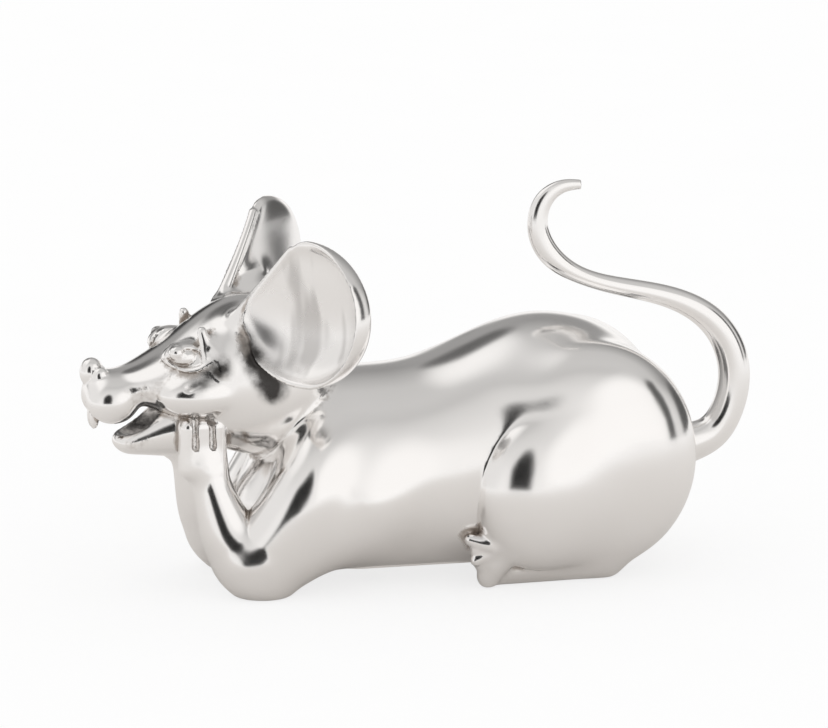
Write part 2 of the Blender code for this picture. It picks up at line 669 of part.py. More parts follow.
def neck_joint(silver, steel):
    profile = [
        (-PLUG_THICKNESS, PLUG_RADIUS),
        (GAP, PLUG_RADIUS),
        (GAP, SPIGOT_RADIUS),
        (SPIGOT_LENGTH, SPIGOT_RADIUS),
    ]
    plug_face = NECK_CENTRE + NECK_AXIS * 2 * GAP
    plug = place("neck_plug", turned(profile, plug_face, -NECK_AXIS, CORE_SIDES), silver)
    cut(plug, place("plug_thread", rod(NECK_CENTRE + NECK_AXIS * REACH / 8, -NECK_AXIS, REACH / 4,
                                       NECK_BOLT_RADIUS + GAP)))
    inner_face = NECK_CENTRE - NECK_AXIS * (NECK_WALL + GAP)
    washer = place("neck_washer", rod(inner_face, -NECK_AXIS, WASHER_THICKNESS, NECK_WASHER_RADIUS), steel)
    cut(washer, place("neck_washer_hole", rod(NECK_CENTRE, -NECK_AXIS, REACH / 4, NECK_BOLT_RADIUS + GAP)))
    under_head = inner_face - NECK_AXIS * (WASHER_THICKNESS + GAP)
    bolt_head = rod(under_head, -NECK_AXIS, NECK_BOLT_HEAD_HEIGHT, NECK_BOLT_HEAD_RADIUS, 6)
    bolt = place("neck_bolt", bolt_head, steel)
    reach = NECK_WALL + WASHER_THICKNESS + PLUG_THICKNESS + NECK_BOLT_RADIUS
    join(bolt, place("bolt_shank", rod(under_head - NECK_AXIS * GAP, NECK_AXIS, reach, NECK_BOLT_RADIUS)))


# Head casting with its jaw and ears


def head_shell(silver):
    shell = place("head_shell", lofted(HEAD_SECTIONS, HEAD_FULLNESS, HEAD_SIDES, 0.0, NECK_SEAT), silver)
    join(shell, place("nose", ellipsoid(from_neck(NOSE_CENTRE), NOSE_RADII, LIMB_SIDES)))
    for _, side in SIDES:
        brow = [from_neck(on_side(p, side)) for p in (BROW_TOP, BROW_FOOT)]
        join(
            shell,
            place("tooth", ellipsoid(from_neck(on_side(TOOTH_CENTRE, side)), TOOTH_RADII, LIMB_SIDES // 2)),
            place("eye", ellipsoid(from_neck(on_side(EYE_CENTRE, side)), EYE_RADII, LIMB_SIDES)),
            place("brow", limb(*brow, BROW_RADIUS, BROW_RADIUS, LIMB_SIDES // 2, 2)),
        )
    cut(shell, place("head_seat", half_space(NECK_SEAT + NECK_AXIS * GAP, -NECK_AXIS)))
    rebate_depth = WALL + PLUG_THICKNESS + 3 * GAP
    rebate = rod(NECK_CENTRE - NECK_AXIS * WALL, NECK_AXIS, rebate_depth, PLUG_RADIUS + GAP)
    core = place("head_core", ellipsoid(from_neck(HEAD_CORE_CENTRE), HEAD_CORE_RADII, CORE_SIDES))
    cut(shell, core, place("plug_rebate", rebate))
    cut(shell, place("core_mouth", rod(NECK_CENTRE, NECK_AXIS, 4 * PLUG_THICKNESS, SPIGOT_RADIUS)))
    cut(shell, place("jaw_pocket", jaw_peg(GAP)))
    for _, side in SIDES:
        cut(shell, place("ear_pocket", ear_peg(side, GAP)))
    return shell


def jaw_peg(grow):
    """The peg that stands on the jaw and is brazed into the head."""
    base = from_neck(Vector((JAW_PEG_X, 0.0, -2 * JAW_PEG_DEPTH / 2)))
    return rod(base, -DOWN, 2 * JAW_PEG_DEPTH + grow, JAW_PEG_RADIUS + grow)


def jaw_body(grow):
    return lofted(JAW_SECTIONS, HEAD_FULLNESS, CORE_SIDES, grow, NECK_SEAT)


def lower_jaw(silver):
    jaw = place("lower_jaw", jaw_body(0.0), silver)
    cut(jaw, head_cutter(GAP))
    cut(jaw, place("jaw_scoop", ellipsoid(from_neck(JAW_SCOOP_CENTRE), JAW_SCOOP_RADII, LIMB_SIDES)))
    cut(jaw, place("throat_plane", half_space(NECK_SEAT + NECK_AXIS * GAP, -NECK_AXIS)))
    return join(jaw, place("jaw_peg", jaw_peg(0.0)))


def ear_axis(side):
    flat = math.cos(EAR_UPWARD)
    return Vector(
        (-flat * math.cos(EAR_OUTWARD), side * flat * math.sin(EAR_OUTWARD), math.sin(EAR_UPWARD))
    )


def ear_peg(side, grow):
    """The peg that runs from the ear's root straight in towards the middle of the head."""
    base = from_neck(on_side(EAR_ROOT_CENTRE, side))
    return rod(base, Vector((0, -side, 0)), EAR_PEG_DEPTH + grow, EAR_PEG_RADIUS + grow)


def ear_depth(up):
    """How far the back of the cup lies behind the middle of its mouth, at a height."""
    share = (EAR_SHALLOW_FROM - up) / (EAR_SHALLOW_FROM - EAR_DEEP_FROM)
    share = min(1.0, max(0.0, share))
    return EAR_TOP_DEPTH + (EAR_FOOT_DEPTH - EAR_TOP_DEPTH) * share * share * (3 - 2 * share)


def ear_profile(turn, steps=5):
    """The cup's outside and inside in one direction, each step given along the axis and away from it."""
    forward, up = math.cos(turn), math.sin(turn)
    reach = 1 / math.hypot(forward / (EAR_FRONT if forward > 0 else EAR_REAR), up / EAR_TALL)
    towards_chord = math.cos(turn - EAR_CHORD_TURN)
    last = math.pi / 2
    if reach * towards_chord > EAR_CHORD:
        last = math.asin(EAR_CHORD / (towards_chord * reach))
    outside, inside = [], []
    for i in range(1, steps + 1):
        bend = last * i / steps
        away = reach * math.sin(bend)
        along = -ear_depth(away * up) * math.cos(bend)
        outside.append((along, away))
        inside.append((along + EAR_THICKNESS * math.cos(bend), away - EAR_THICKNESS * math.sin(bend)))
    rise = EAR_RIM + EAR_RIM_RISE * max(0.0, -away * forward) + EAR_THICKNESS * math.cos(last)
    rim = along + rise
    away *= math.sqrt(1 - (rise / EAR_CURL) ** 2)
    outside.append((rim, away))
    inside.append((rim, away - EAR_THICKNESS))
    return outside, inside


def ear_place(side, turn, along, away):
    """A point of the cup, given along its axis and away from it in one direction."""
    axis = ear_axis(side)
    forward = Vector((-math.sin(EAR_OUTWARD), -side * math.cos(EAR_OUTWARD), 0.0))
    upward = axis.cross(forward) * side
    outward = math.cos(turn) * forward + math.sin(turn) * upward
    return from_neck(on_side(EAR_CENTRE, side)) + axis * along + outward * away


def ear_rings(side, sides, profile):
    """Rings about the ear's axis, one for each step of the profile."""
    turns = [2 * math.pi * i / sides for i in range(sides)]
    profiles = [profile(turn) for turn in turns]
    rings = []
    for steps in zip(*profiles):
        rings.append([ear_place(side, turn, *step) for turn, step in zip(turns, steps)])
    return rings


def ear_cup(side):
    """The cup's wall, with a rounded rim between its outside and its inside."""

    def wall(turn):
        outside, inside = ear_profile(turn)
        along, away = outside[-1]
        edge = (along + EAR_THICKNESS / 4, away - EAR_THICKNESS / 2)
        return outside + [edge] + inside[::-1]

    back = ear_place(side, 0.0, -ear_depth(0.0), 0.0)
    floor = ear_place(side, 0.0, EAR_THICKNESS - ear_depth(0.0), 0.0)
    return skin(ear_rings(side, HEAD_SIDES, wall), back, floor)


def ear_hollow(side):
    """The space in the cup and before it, a little way into the wall, to cut the ear's root with."""

    def inside_wall(turn):
        steps = [(along - GAP, away + GAP) for along, away in ear_profile(turn)[1]]
        return steps + [(2 * EAR_CURL, steps[-1][1])]

    floor = ear_place(side, 0.0, EAR_THICKNESS - ear_depth(0.0) - GAP, 0.0)
    return skin(ear_rings(side, CORE_SIDES, inside_wall), floor)


def ears(silver):
    for word, side in SIDES:
        ear = place(f"{word}_ear", ear_cup(side), silver)
        root_centre = from_neck(on_side(EAR_ROOT_CENTRE, side))
        root = place("ear_root", ellipsoid(root_centre, EAR_ROOT_RADII, LIMB_SIDES))
        cut(root, place("ear_hollow", ear_hollow(side)))
        join(ear, root)
        cut(ear, head_cutter(GAP))
        join(ear, place("ear_peg", ear_peg(side, 0.0)))


# Arms and the dowels that hold them to the trunk


def hand(side):
    """A flat hand with round edges, its fingers upward."""
    steps = 4
    corners = [superellipse(2 * math.pi * i / LIMB_SIDES, HAND_FULLNESS) for i in range(LIMB_SIDES)]
    centre = on_side(HAND_CENTRE, side)
    rings = []
    for i in range(1 - steps, steps):
        share, height = superellipse(math.pi / 2 * i / steps, HAND_FULLNESS)
        size = Vector((HAND_HALF_LENGTH * share, HAND_HALF_WIDTH * share, HAND_HALF_HEIGHT * height))
        rings.append([centre + Vector((size.x * c, size.y * s, size.z)) for c, s in corners])
    end = Vector((0, 0, HAND_HALF_HEIGHT))
    return skin(rings, centre - end, centre + end)


def finger_slots(side):
    """The two round-bottomed slots that part the fingers."""
    turns = [math.pi * (1 + i / TURNED_SIDES * 2) for i in range(TURNED_SIDES // 2 + 1)]
    outline = [(FINGER_SLOT_RADIUS * math.cos(a), FINGER_SLOT_RADIUS * math.sin(a)) for a in turns]
    outline += [(FINGER_SLOT_RADIUS, FINGER_LENGTH * 2), (-FINGER_SLOT_RADIUS, FINGER_LENGTH * 2)]
    top = on_side(HAND_CENTRE, side) + Vector((0, 0, HAND_HALF_HEIGHT))
    slots = []
    for way in (-1, 1):
        foot = top + Vector((way * FINGER_PITCH / 2, 0, FINGER_SLOT_RADIUS - FINGER_LENGTH))
        faces = (-2 * HAND_HALF_WIDTH, 2 * HAND_HALF_WIDTH)
        rings = [[foot + Vector((x, y, z)) for x, z in outline] for y in faces]
        slots.append(place("finger_slot", skin(rings)))
    return slots


def arms(silver, steel):
    for word, side in SIDES:
        arm = place(f"{word}_arm", bent_limb(UPPER_ARM, side), silver)
        sleeve = [on_side(at, side) for at in (SLEEVE_TOP, SLEEVE_FOOT)]
        elbow = [on_side(at, side) for at in (ELBOW + ELBOW_REACH, ELBOW - ELBOW_REACH)]
        join(
            arm,
            place("sleeve", limb(*sleeve, SLEEVE_TOP_RADIUS, SLEEVE_FOOT_RADIUS)),
            place("elbow", limb(*elbow, ELBOW_RADIUS, ELBOW_RADIUS)),
            place("forearm", bent_limb(FOREARM, side)),
            place("hand", hand(side)),
        )
        cut(arm, *finger_slots(side))
        cut(arm, place("table", below(0.0)), *trunk_cutters(GAP, with_legs=False))
        cut(arm, head_cutter(GAP), place("jaw_cutter", jaw_body(GAP)))
        outward = Vector((0, side, 0))
        inner = dowel_place(side)
        cut(arm, place("dowel_socket", rod(inner, outward, DOWEL_LENGTH + GAP, DOWEL_RADIUS + GAP)))
        dowel = rod(inner + outward * GAP, outward, DOWEL_LENGTH - GAP, DOWEL_RADIUS)
        place(f"{word}_shoulder_dowel", dowel, steel)


# Tail and the stud, washer and nut that hold it


def tail_line():
    """Points and radii along the middle of the tail, in the plane of symmetry."""
    bow_middle = Vector(
        (
            TAIL_ROOT.x - TAIL_BOW_RADIUS * math.cos(TAIL_BOW_START),
            0.0,
            TAIL_ROOT.z - TAIL_BOW_RADIUS * math.sin(TAIL_BOW_START),
        )
    )
    line = []
    bow_steps, run_steps, hook_steps = 15, 4, 14
    for i in range(bow_steps + 1):
        angle = TAIL_BOW_START + (TAIL_BOW_END - TAIL_BOW_START) * i / bow_steps
        line.append(bow_middle + TAIL_BOW_RADIUS * Vector((math.cos(angle), 0, math.sin(angle))))
    heading = Vector((-math.sin(TAIL_BOW_END), 0, math.cos(TAIL_BOW_END)))
    bow_end = line[-1]
    line += [bow_end + heading * TAIL_RUN * i / run_steps for i in range(1, run_steps + 1)]
    towards_middle = Vector((heading.z, 0, -heading.x))
    hook_middle = line[-1] + towards_middle * TAIL_HOOK_RADIUS
    for i in range(1, hook_steps + 1):
        share = i / hook_steps
        turn = Matrix.Rotation(TAIL_HOOK_TURN * share, 3, "Y")
        radius = TAIL_HOOK_RADIUS + (TAIL_HOOK_END_RADIUS - TAIL_HOOK_RADIUS) * share
        line.append(hook_middle + turn @ (-towards_middle) * radius)
    hook_start = bow_steps + run_steps
    radii = []
    for i in range(len(line)):
        if i <= hook_start:
            radii.append(TAIL_ROOT_RADIUS + (TAIL_RUN_RADIUS - TAIL_ROOT_RADIUS) * i / hook_start)
        else:
            share = ((i - hook_start) / hook_steps) ** 2
            radii.append(TAIL_RUN_RADIUS + (TAIL_TIP_RADIUS - TAIL_RUN_RADIUS) * share)
    return line, radii


def tail(silver, steel):
    line, radii = tail_line()
    rings = []
    for before, at, after, radius in zip([line[0], *line], line, [*line[1:], line[-1]], radii):
        tangent = (after - before).normalized()
        rings.append(ring_at(at, tangent.cross(Vector((0, 1, 0))), Vector((0, 1, 0)), radius, LIMB_SIDES))
    tip = line[-1] + (line[-1] - line[-2]).normalized() * TAIL_TIP_RADIUS / 2
    body = place("tail", skin(rings, None, tip), silver)
    axis = Vector((1, 0, 0))
    cut(body, *trunk_cutters(GAP, with_legs=False))
    cut(body, place("stud_socket", rod(TAIL_ROOT - axis * REACH / 8, axis, REACH / 8 + STUD_IN_TAIL + GAP,
                                       STUD_RADIUS + GAP)))
    boss_face = TAIL_ROOT - axis * (WALL + TAIL_BOSS_DEPTH + GAP)
    washer = place("tail_washer", rod(boss_face, -axis, WASHER_THICKNESS, TAIL_WASHER_RADIUS), steel)
    bore = STUD_RADIUS + GAP
    cut(washer, place("tail_washer_hole", rod(TAIL_ROOT, -axis, REACH / 4, bore)))
    nut_face = boss_face - axis * (WASHER_THICKNESS + GAP)
    nut = place("tail_nut", rod(nut_face, -axis, NUT_HEIGHT, NUT_RADIUS, 6), steel)
    cut(nut, place("nut_thread", rod(TAIL_ROOT, -axis, REACH / 4, bore)))
    stud_start = nut_face - axis * (NUT_HEIGHT + STUD_SPARE)
    length = (TAIL_ROOT - stud_start).length + STUD_IN_TAIL
    place("tail_stud", rod(stud_start, axis, length, STUD_RADIUS), steel)


def main():
    clear_scene()
    silver = metal("polished_silver_plate", SILVER, 0.06)
    steel = metal("fastener_steel", STEEL, 0.3)
    trunk_shell(silver)
    base_plate(silver)
    base_screws(steel)
    neck_joint(silver, steel)
    head_shell(silver)
    lower_jaw(silver)
    ears(silver)
    arms(silver, steel)
    tail(silver, steel)


main()
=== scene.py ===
import math

import bmesh
import bpy
import numpy as np
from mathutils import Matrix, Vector


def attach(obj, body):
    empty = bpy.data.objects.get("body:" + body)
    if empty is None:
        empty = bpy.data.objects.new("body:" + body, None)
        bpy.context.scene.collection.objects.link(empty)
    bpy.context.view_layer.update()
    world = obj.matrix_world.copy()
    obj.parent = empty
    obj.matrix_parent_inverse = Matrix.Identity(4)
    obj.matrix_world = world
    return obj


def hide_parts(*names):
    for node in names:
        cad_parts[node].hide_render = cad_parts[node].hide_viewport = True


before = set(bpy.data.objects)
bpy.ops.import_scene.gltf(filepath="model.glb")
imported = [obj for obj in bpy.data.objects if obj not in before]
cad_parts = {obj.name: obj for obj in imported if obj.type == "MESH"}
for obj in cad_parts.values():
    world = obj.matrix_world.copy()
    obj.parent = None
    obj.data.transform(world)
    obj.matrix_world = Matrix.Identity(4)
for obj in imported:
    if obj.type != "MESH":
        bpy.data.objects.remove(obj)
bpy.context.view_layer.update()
scene = bpy.context.scene
scene.view_settings.view_transform = "Standard"

# The figure is seen from its left side, a little from the front and from above, through a long lens that
# keeps its lines parallel. Its shapes are drawn in millimetres, and MM turns them into the frame's metres.
MM = 0.001
PICTURE_WIDTH = 828
PIXELS_PER_MM = 4.573
CAMERA_TURN = -13.5
CAMERA_RISE = 13.5
CAMERA_DISTANCE = 2.0
CAMERA_REACH = 50.0
CAMERA_AIM = Vector((-0.56, 0.0, 46.5)) * MM
SENSOR_MM = 36.0


def aim(turn, rise):
    """The direction at a turn to the right from straight in front and at a rise, in degrees."""
    turn, rise = math.radians(turn), math.radians(rise)
    return Vector((math.sin(turn) * math.cos(rise), -math.cos(turn) * math.cos(rise), math.sin(rise)))


lens = bpy.data.cameras.new("camera")
lens.sensor_width = SENSOR_MM
lens.lens = PIXELS_PER_MM / MM * CAMERA_DISTANCE * SENSOR_MM / PICTURE_WIDTH
lens.clip_end = CAMERA_REACH
camera = bpy.data.objects.new("camera", lens)
camera.location = CAMERA_AIM + aim(CAMERA_TURN, CAMERA_RISE) * CAMERA_DISTANCE
camera.rotation_euler = aim(CAMERA_TURN, CAMERA_RISE).to_track_quat("Z", "Y").to_euler()
scene.collection.objects.link(camera)
scene.camera = camera

# The floor is a table under a wide sheet of plain white paper that runs on into a white wall. Where the
# polished skin mirrors it, the paper is painted greyer close to the figure: painted shade for the figure's
# own shadow on it.
FLOOR_SIZE = 1.5
SHADE_NEAR = 0.04
SHADE_FAR = 0.42
SHADED_PAPER = (0.70, 0.675, 0.65, 1)
OPEN_PAPER = (0.92, 0.91, 0.90, 1)
PAPER_GLOW = 0.76
MIRRORED_GLOW = 0.14
BLACK = (0, 0, 0, 1)
WHITE = (1, 1, 1, 1)


class Sock:
    """A shader socket that takes part in sums, so that a finish is written as an expression."""

    def __init__(self, tree, socket):
        self.tree = tree
        self.socket = socket

    def node(self, kind, settings=None, out=0, **sockets):
        """Adds any node: its settings first, then values or links for its sockets, named or numbered."""
        node = self.tree.nodes.new(kind)
        for key, value in (settings or {}).items():
            if key == "stops":
                ramp = node.color_ramp
                while len(ramp.elements) < len(value):
                    ramp.elements.new(0.5)
                for element, (place, grey) in zip(ramp.elements, value):
                    element.position = place
                    element.color = (grey, grey, grey, 1.0)
            else:
                setattr(node, key, value)
        for key, value in sockets.items():
            name = key.replace("_", " ").lower()
            if key[0] == "i" and key[1:].isdigit():
                target = node.inputs[int(key[1:])]
            else:
                target = next(s for s in node.inputs if s.name.lower() == name and s.enabled)
            if isinstance(value, Sock):
                self.tree.links.new(value.socket, target)
            else:
                target.default_value = value
        if isinstance(out, int):
            return Sock(self.tree, node.outputs[out])
        return Sock(self.tree, next(s for s in node.outputs if s.name == out and s.enabled))

    def math(self, operation, first, second):
        return self.node("ShaderNodeMath", {"operation": operation}, i0=first, i1=second)

    def __add__(self, other):
        return self.math("ADD", self, other)

    __radd__ = __add__

    def __sub__(self, other):
        return self.math("SUBTRACT", self, other)

    def __rsub__(self, other):
        return self.math("SUBTRACT", other, self)

    def __mul__(self, other):
        return self.math("MULTIPLY", self, other)

    __rmul__ = __mul__

    def either(self, other):
        return self.math("MAXIMUM", self, other)

    def step(self, low, high):
        """0 below low and 1 above high, with a soft run between them."""
        smooth = {"interpolation_type": "SMOOTHSTEP"}
        return self.node("ShaderNodeMapRange", smooth, Value=self, From_Min=low, From_Max=high)

    def mix(self, first, second):
        """Goes from the first colour to the second as this value goes from 0 to 1."""
        return self.node("ShaderNodeMix", {"data_type": "RGBA"}, out=2, i0=self, i6=first, i7=second)

    def feed(self, target):
        """Links this socket to the one that the target holds."""
        self.tree.links.new(self.socket, target.socket)


def new_material(name):
    """A material with nothing but its output, and a handle to add nodes with."""
    material = bpy.data.materials.new(name)
    material.use_nodes = True
    tree = material.node_tree
    tree.nodes.clear()
    output = tree.nodes.new("ShaderNodeOutputMaterial")
    return material, Sock(tree, output.inputs["Surface"])


table_paint, surface = new_material("white_table")
grain = surface.node("ShaderNodeTexNoise", out="Fac", Scale=60.0, Detail=3.0)
mirrored = surface.node("ShaderNodeLightPath", out="Is Glossy Ray")
spot = surface.node("ShaderNodeNewGeometry", out="Position")
away = surface.node("ShaderNodeVectorMath", {"operation": "LENGTH"}, out="Value", i0=spot)
paper = (grain * 0.01 + 0.985).mix(BLACK, WHITE)
# Painted shadow: the paper that the skin mirrors is painted darker near the figure, as the figure's shadow.
tone = mirrored.mix(paper, away.step(SHADE_NEAR, SHADE_FAR).mix(SHADED_PAPER, OPEN_PAPER))
sheet = surface.node("ShaderNodeBsdfDiffuse", Color=tone)
bright = surface.node("ShaderNodeEmission", Color=tone, Strength=1.0)
glow = PAPER_GLOW - (PAPER_GLOW - MIRRORED_GLOW) * mirrored
surface.node("ShaderNodeMixShader", i0=glow, i1=sheet, i2=bright).feed(surface)

floor_shape = bmesh.new()
bmesh.ops.create_grid(floor_shape, x_segments=2, y_segments=2, size=FLOOR_SIZE / 2)
floor_mesh = bpy.data.meshes.new("table")
floor_shape.to_mesh(floor_mesh)
floor_shape.free()
floor_mesh.materials.append(table_paint)
floor = bpy.data.objects.new("table", floor_mesh)
scene.collection.objects.link(floor)

# The light is that of a small white studio: a bright front, a grey ceiling and a darker room behind. White
# panels and black cards stand round the table, and the polished skin shows each as a patch or a stripe.
# Each has its turn and rise, the angles at which it is full and at which it ends, and its brightness.
STUDIO_ARCH = (
    (0.0, 0.90), (0.11, 0.86), (0.20, 0.78), (0.30, 0.68), (0.36, 0.56), (0.44, 0.60), (0.59, 0.57),
    (0.72, 0.40), (0.80, 0.30), (0.90, 0.32), (0.955, 1.0),
)
SIDE_WALLS = 0.75
SIDE_WALLS_BETWEEN = 0.7, 0.98
STUDIO_PANELS = (
    ((36.0, 14.0), 22.0, 40.0, 1.0),
    ((-118.0, 46.0), 24.0, 40.0, 0.97),
    ((-95.0, 10.0), 20.0, 40.0, 0.80),
    *(((72.0, rise), 3.0, 9.0, 0.08) for rise in (-3.0, 5.0, 13.0, 21.0, 29.0)),
    ((112.0, 1.0), 10.0, 22.0, 0.10),
    ((-173.0, 26.0), 8.0, 20.0, 0.34),
    ((-162.0, 45.0), 6.0, 15.0, 0.12),
    ((-175.0, 5.0), 6.0, 14.0, 0.04),
    ((-26.0, 27.0), 4.0, 14.0, 0.10),
    *(((-28.0, rise), 10.0, 20.0, 0.015) for rise in (-6.0, 6.0, 17.0)),
)
STUDIO_WHITE = (1, 0.985, 0.97, 1)
WALL_WHITE = (1.04, 1.04, 1.04, 1)

world = bpy.data.worlds.new("studio")
scene.world = world
world.use_nodes = True
world.node_tree.nodes.clear()
sky = Sock(world.node_tree, world.node_tree.nodes.new("ShaderNodeOutputWorld").inputs["Surface"])
towards = sky.node("ShaderNodeTexCoord", out="Generated")


def along(axis):
    """How far each direction of the sky points along an axis."""
    return sky.node("ShaderNodeVectorMath", {"operation": "DOT_PRODUCT"}, out="Value", i0=towards, i1=axis)


height = along(Vector((0, 0, 1)))
front = along(aim(CAMERA_TURN, 0.0))
over = sky.math("ARCTAN2", height, front) * (1 / math.pi)
arch = sky.node("ShaderNodeValToRGB", {"stops": STUDIO_ARCH}, Fac=over)
sideways = (1 - (height * height + front * front)).step(*SIDE_WALLS_BETWEEN)
level = sky.node("ShaderNodeMix", {"data_type": "FLOAT"}, i0=sideways, i2=arch, i3=SIDE_WALLS)
for centre, inner, outer, value in STUDIO_PANELS:
    panel = along(aim(*centre)).step(math.cos(math.radians(outer)), math.cos(math.radians(inner)))
    level = sky.node("ShaderNodeMix", {"data_type": "FLOAT"}, i0=panel, i2=level, i3=value)
seen = sky.node("ShaderNodeLightPath", out="Is Camera Ray")
scattered = sky.node("ShaderNodeLightPath", out="Is Diffuse Ray")
shade = seen.either(scattered).mix(level.mix(BLACK, STUDIO_WHITE), WALL_WHITE)
sky.node("ShaderNodeBackground", Color=shade, Strength=1.0).feed(sky)

# The trunk is a hollow casting with the haunches and hind feet on it. Its skin is plated and polished by
# hand, so the edges are soft. A crease runs round each thigh, and folds of skin bunch up at the foot.


class Curve:
    """A smooth curve through points, going on straight beyond its ends."""

    def __init__(self, xs, ys):
        self.x = np.array(xs, float)
        self.y = np.array(ys, float)
        n = len(xs)
        gap = np.diff(self.x)
        rise = np.diff(self.y) / gap
        rows = np.zeros((n, n))
        right = np.zeros(n)
        rows[0, 0] = rows[-1, -1] = 1.0
        for i in range(1, n - 1):
            rows[i, i - 1 : i + 2] = gap[i - 1], 2 * (gap[i - 1] + gap[i]), gap[i]
            right[i] = 6 * (rise[i] - rise[i - 1])
        self.bend = np.linalg.solve(rows, right)

    def __call__(self, x, slope=False):
        i = np.clip(np.searchsorted(self.x, x) - 1, 0, len(self.x) - 2)
        x0, x1 = self.x[i], self.x[i + 1]
        y0, y1 = self.y[i], self.y[i + 1]
        b0, b1 = self.bend[i], self.bend[i + 1]
        gap = x1 - x0
        at = np.clip(x, self.x[0], self.x[-1])
        s, t = (x1 - at) / gap, (at - x0) / gap
        rate = (y1 - y0) / gap + gap / 6 * ((3 * t * t - 1) * b1 - (3 * s * s - 1) * b0)
        if slope:
            return rate
        return s * y0 + t * y1 + gap * gap / 6 * ((s**3 - s) * b0 + (t**3 - t) * b1) + (x - at) * rate


class Loft:
    """A rounded body through sections of (x, underside, top, half width); both ends are points."""

    def __init__(self, sections):
        xs = [s[0] for s in sections]
        inner = sections[1:-1]
        self.square = Curve(xs, [((s[2] - s[1]) / 2) ** 2 for s in sections])
        self.middle = Curve(xs, [(s[2] + s[1]) / 2 for s in sections])
        self.squash = Curve([s[0] for s in inner], [(s[2] - s[1]) / 2 / s[3] for s in inner])
        self.ends = xs[1], xs[-2]

    def __call__(self, x, y, z):
        square = self.square(x)
        squash = self.squash(np.clip(x, *self.ends))
        away2 = (z - self.middle(x)) ** 2 + (squash * y) ** 2
        reach = np.sqrt(np.maximum(square, 0.0))
        return (away2 - square) / np.sqrt((np.sqrt(away2) + reach) ** 2 + self.square(x, True) ** 2 + 1e-9)


def blob(x, y, z, centre, radii):
    """An ellipsoid. Like every form here it is a distance in millimetres, below 0 inside."""
    a, b, c = ((v - m) / r for v, m, r in zip((x, y, z), centre, radii))
    size = np.sqrt(a * a + b * b + c * c)
    steep = np.sqrt((a / radii[0]) ** 2 + (b / radii[1]) ** 2 + (c / radii[2]) ** 2)
    return size * (size - 1) / np.maximum(steep, 1e-6)


def rod(x, y, z, start, end, r0, r1):
    """A straight limb with round ends that tapers from one radius to the other."""
    ax, ay, az = (e - s for s, e in zip(start, end))
    px, py, pz = (v - s for v, s in zip((x, y, z), start))
    t = np.clip((px * ax + py * ay + pz * az) / (ax * ax + ay * ay + az * az), 0, 1)
    return np.sqrt((px - t * ax) ** 2 + (py - t * ay) ** 2 + (pz - t * az) ** 2) - (r0 + (r1 - r0) * t)


def melt(a, b, fillet):
    """Joins two forms with a soft fillet."""
    near = np.maximum(fillet - np.abs(a - b), 0.0) / fillet
    return np.minimum(a, b) - near**3 * fillet / 6


def carve(a, b, fillet):
    """Takes the second form out of the first, with a soft edge."""
    return -melt(-a, b, fillet)


def ramp(value, low, high):
    """0 below low and 1 above high, with a soft run between them."""
    t = np.clip((value - low) / (high - low), 0, 1)
    return t * t * (3 - 2 * t)


TRUNK = Loft([
    (-41.0, 16.0, 16.0, 0.0), (-38.5, 8.0, 25.0, 8.5), (-33.0, 4.5, 35.5, 14.5), (-25.0, 2.6, 44.0, 18.5),
    (-14.0, 1.8, 46.8, 21.5), (-2.0, 1.6, 47.6, 22.5), (10.0, 1.6, 51.6, 23.0), (22.0, 1.6, 55.8, 23.6),
    (34.0, 1.8, 55.8, 23.2), (45.0, 4.0, 51.2, 20.8), (53.0, 9.0, 43.6, 16.4), (58.0, 15.5, 34.8, 10.0),
    (60.3, 24.5, 24.5, 0.0),
])
BELLY_LIFT = 3.2
BELLY_EDGE = 2.0
HAUNCH = (37.0, 14.5, 27.0), (22.0, 13.0, 25.0)
KNEE = (22.0, 18.3, 21.0), (14.5, 11.5, 17.0)
KNEE_FILLET = 12.0
CREASE = 0.8
THIGH_FILLET = 8.0
CREASE_TOP = 34.0, 46.0
CREASE_REAR = 40.0, 52.0
FOOT = (38.0, 13.8, 4.6), (13.6, 15.6, 3.0), 5.4, 3.5
FOOT_FILLET = 4.0
FOOT_CREASE_REAR = 24.0, 38.0
WEB = (11.6, 18.6, 2.4), (15.4, 19.6, 8.0), 2.4, 2.4
WEB_PAD = (12.2, 19.0, 7.2), (4.6, 2.9, 3.8)
WEB_FILLET = 3.0
WEB_SEAM = 2.2
WEB_FOLDS = (
    ((7.2, 20.4, 11.4), (12.2, 21.6, 10.0), 1.3, 1.9), ((8.6, 20.2, 9.0), (16.8, 21.4, 7.2), 1.5, 1.3),
    ((12.2, 21.2, 12.4), (16.4, 22.2, 8.4), 1.0, 1.4), ((8.2, 20.8, 6.8), (12.6, 21.6, 8.6), 1.1, 0.8),
)
WEB_FOLD_FILLET = 1.4
SOLE_EDGE = 0.8


def trunk_form(x, y, z):
    """The trunk with its haunches and feet; y is the distance from the middle plane, as in all the forms."""
    body = carve(TRUNK(x, y, z), z - BELLY_LIFT, BELLY_EDGE)
    thigh = melt(blob(x, y, z, *HAUNCH), blob(x, y, z, *KNEE), KNEE_FILLET)
    smooth = np.maximum(ramp(z, *CREASE_TOP), ramp(x, *CREASE_REAR))
    body = melt(body, thigh, CREASE + THIGH_FILLET * smooth)
    body = melt(body, rod(x, y, z, *FOOT), CREASE + FOOT_FILLET * ramp(x, *FOOT_CREASE_REAR))
    web = melt(rod(x, y, z, *WEB), blob(x, y, z, *WEB_PAD), WEB_FILLET)
    for fold in WEB_FOLDS:
        web = melt(web, rod(x, y, z, *fold), WEB_FOLD_FILLET)
    return carve(melt(body, web, WEB_SEAM), z, SOLE_EDGE)


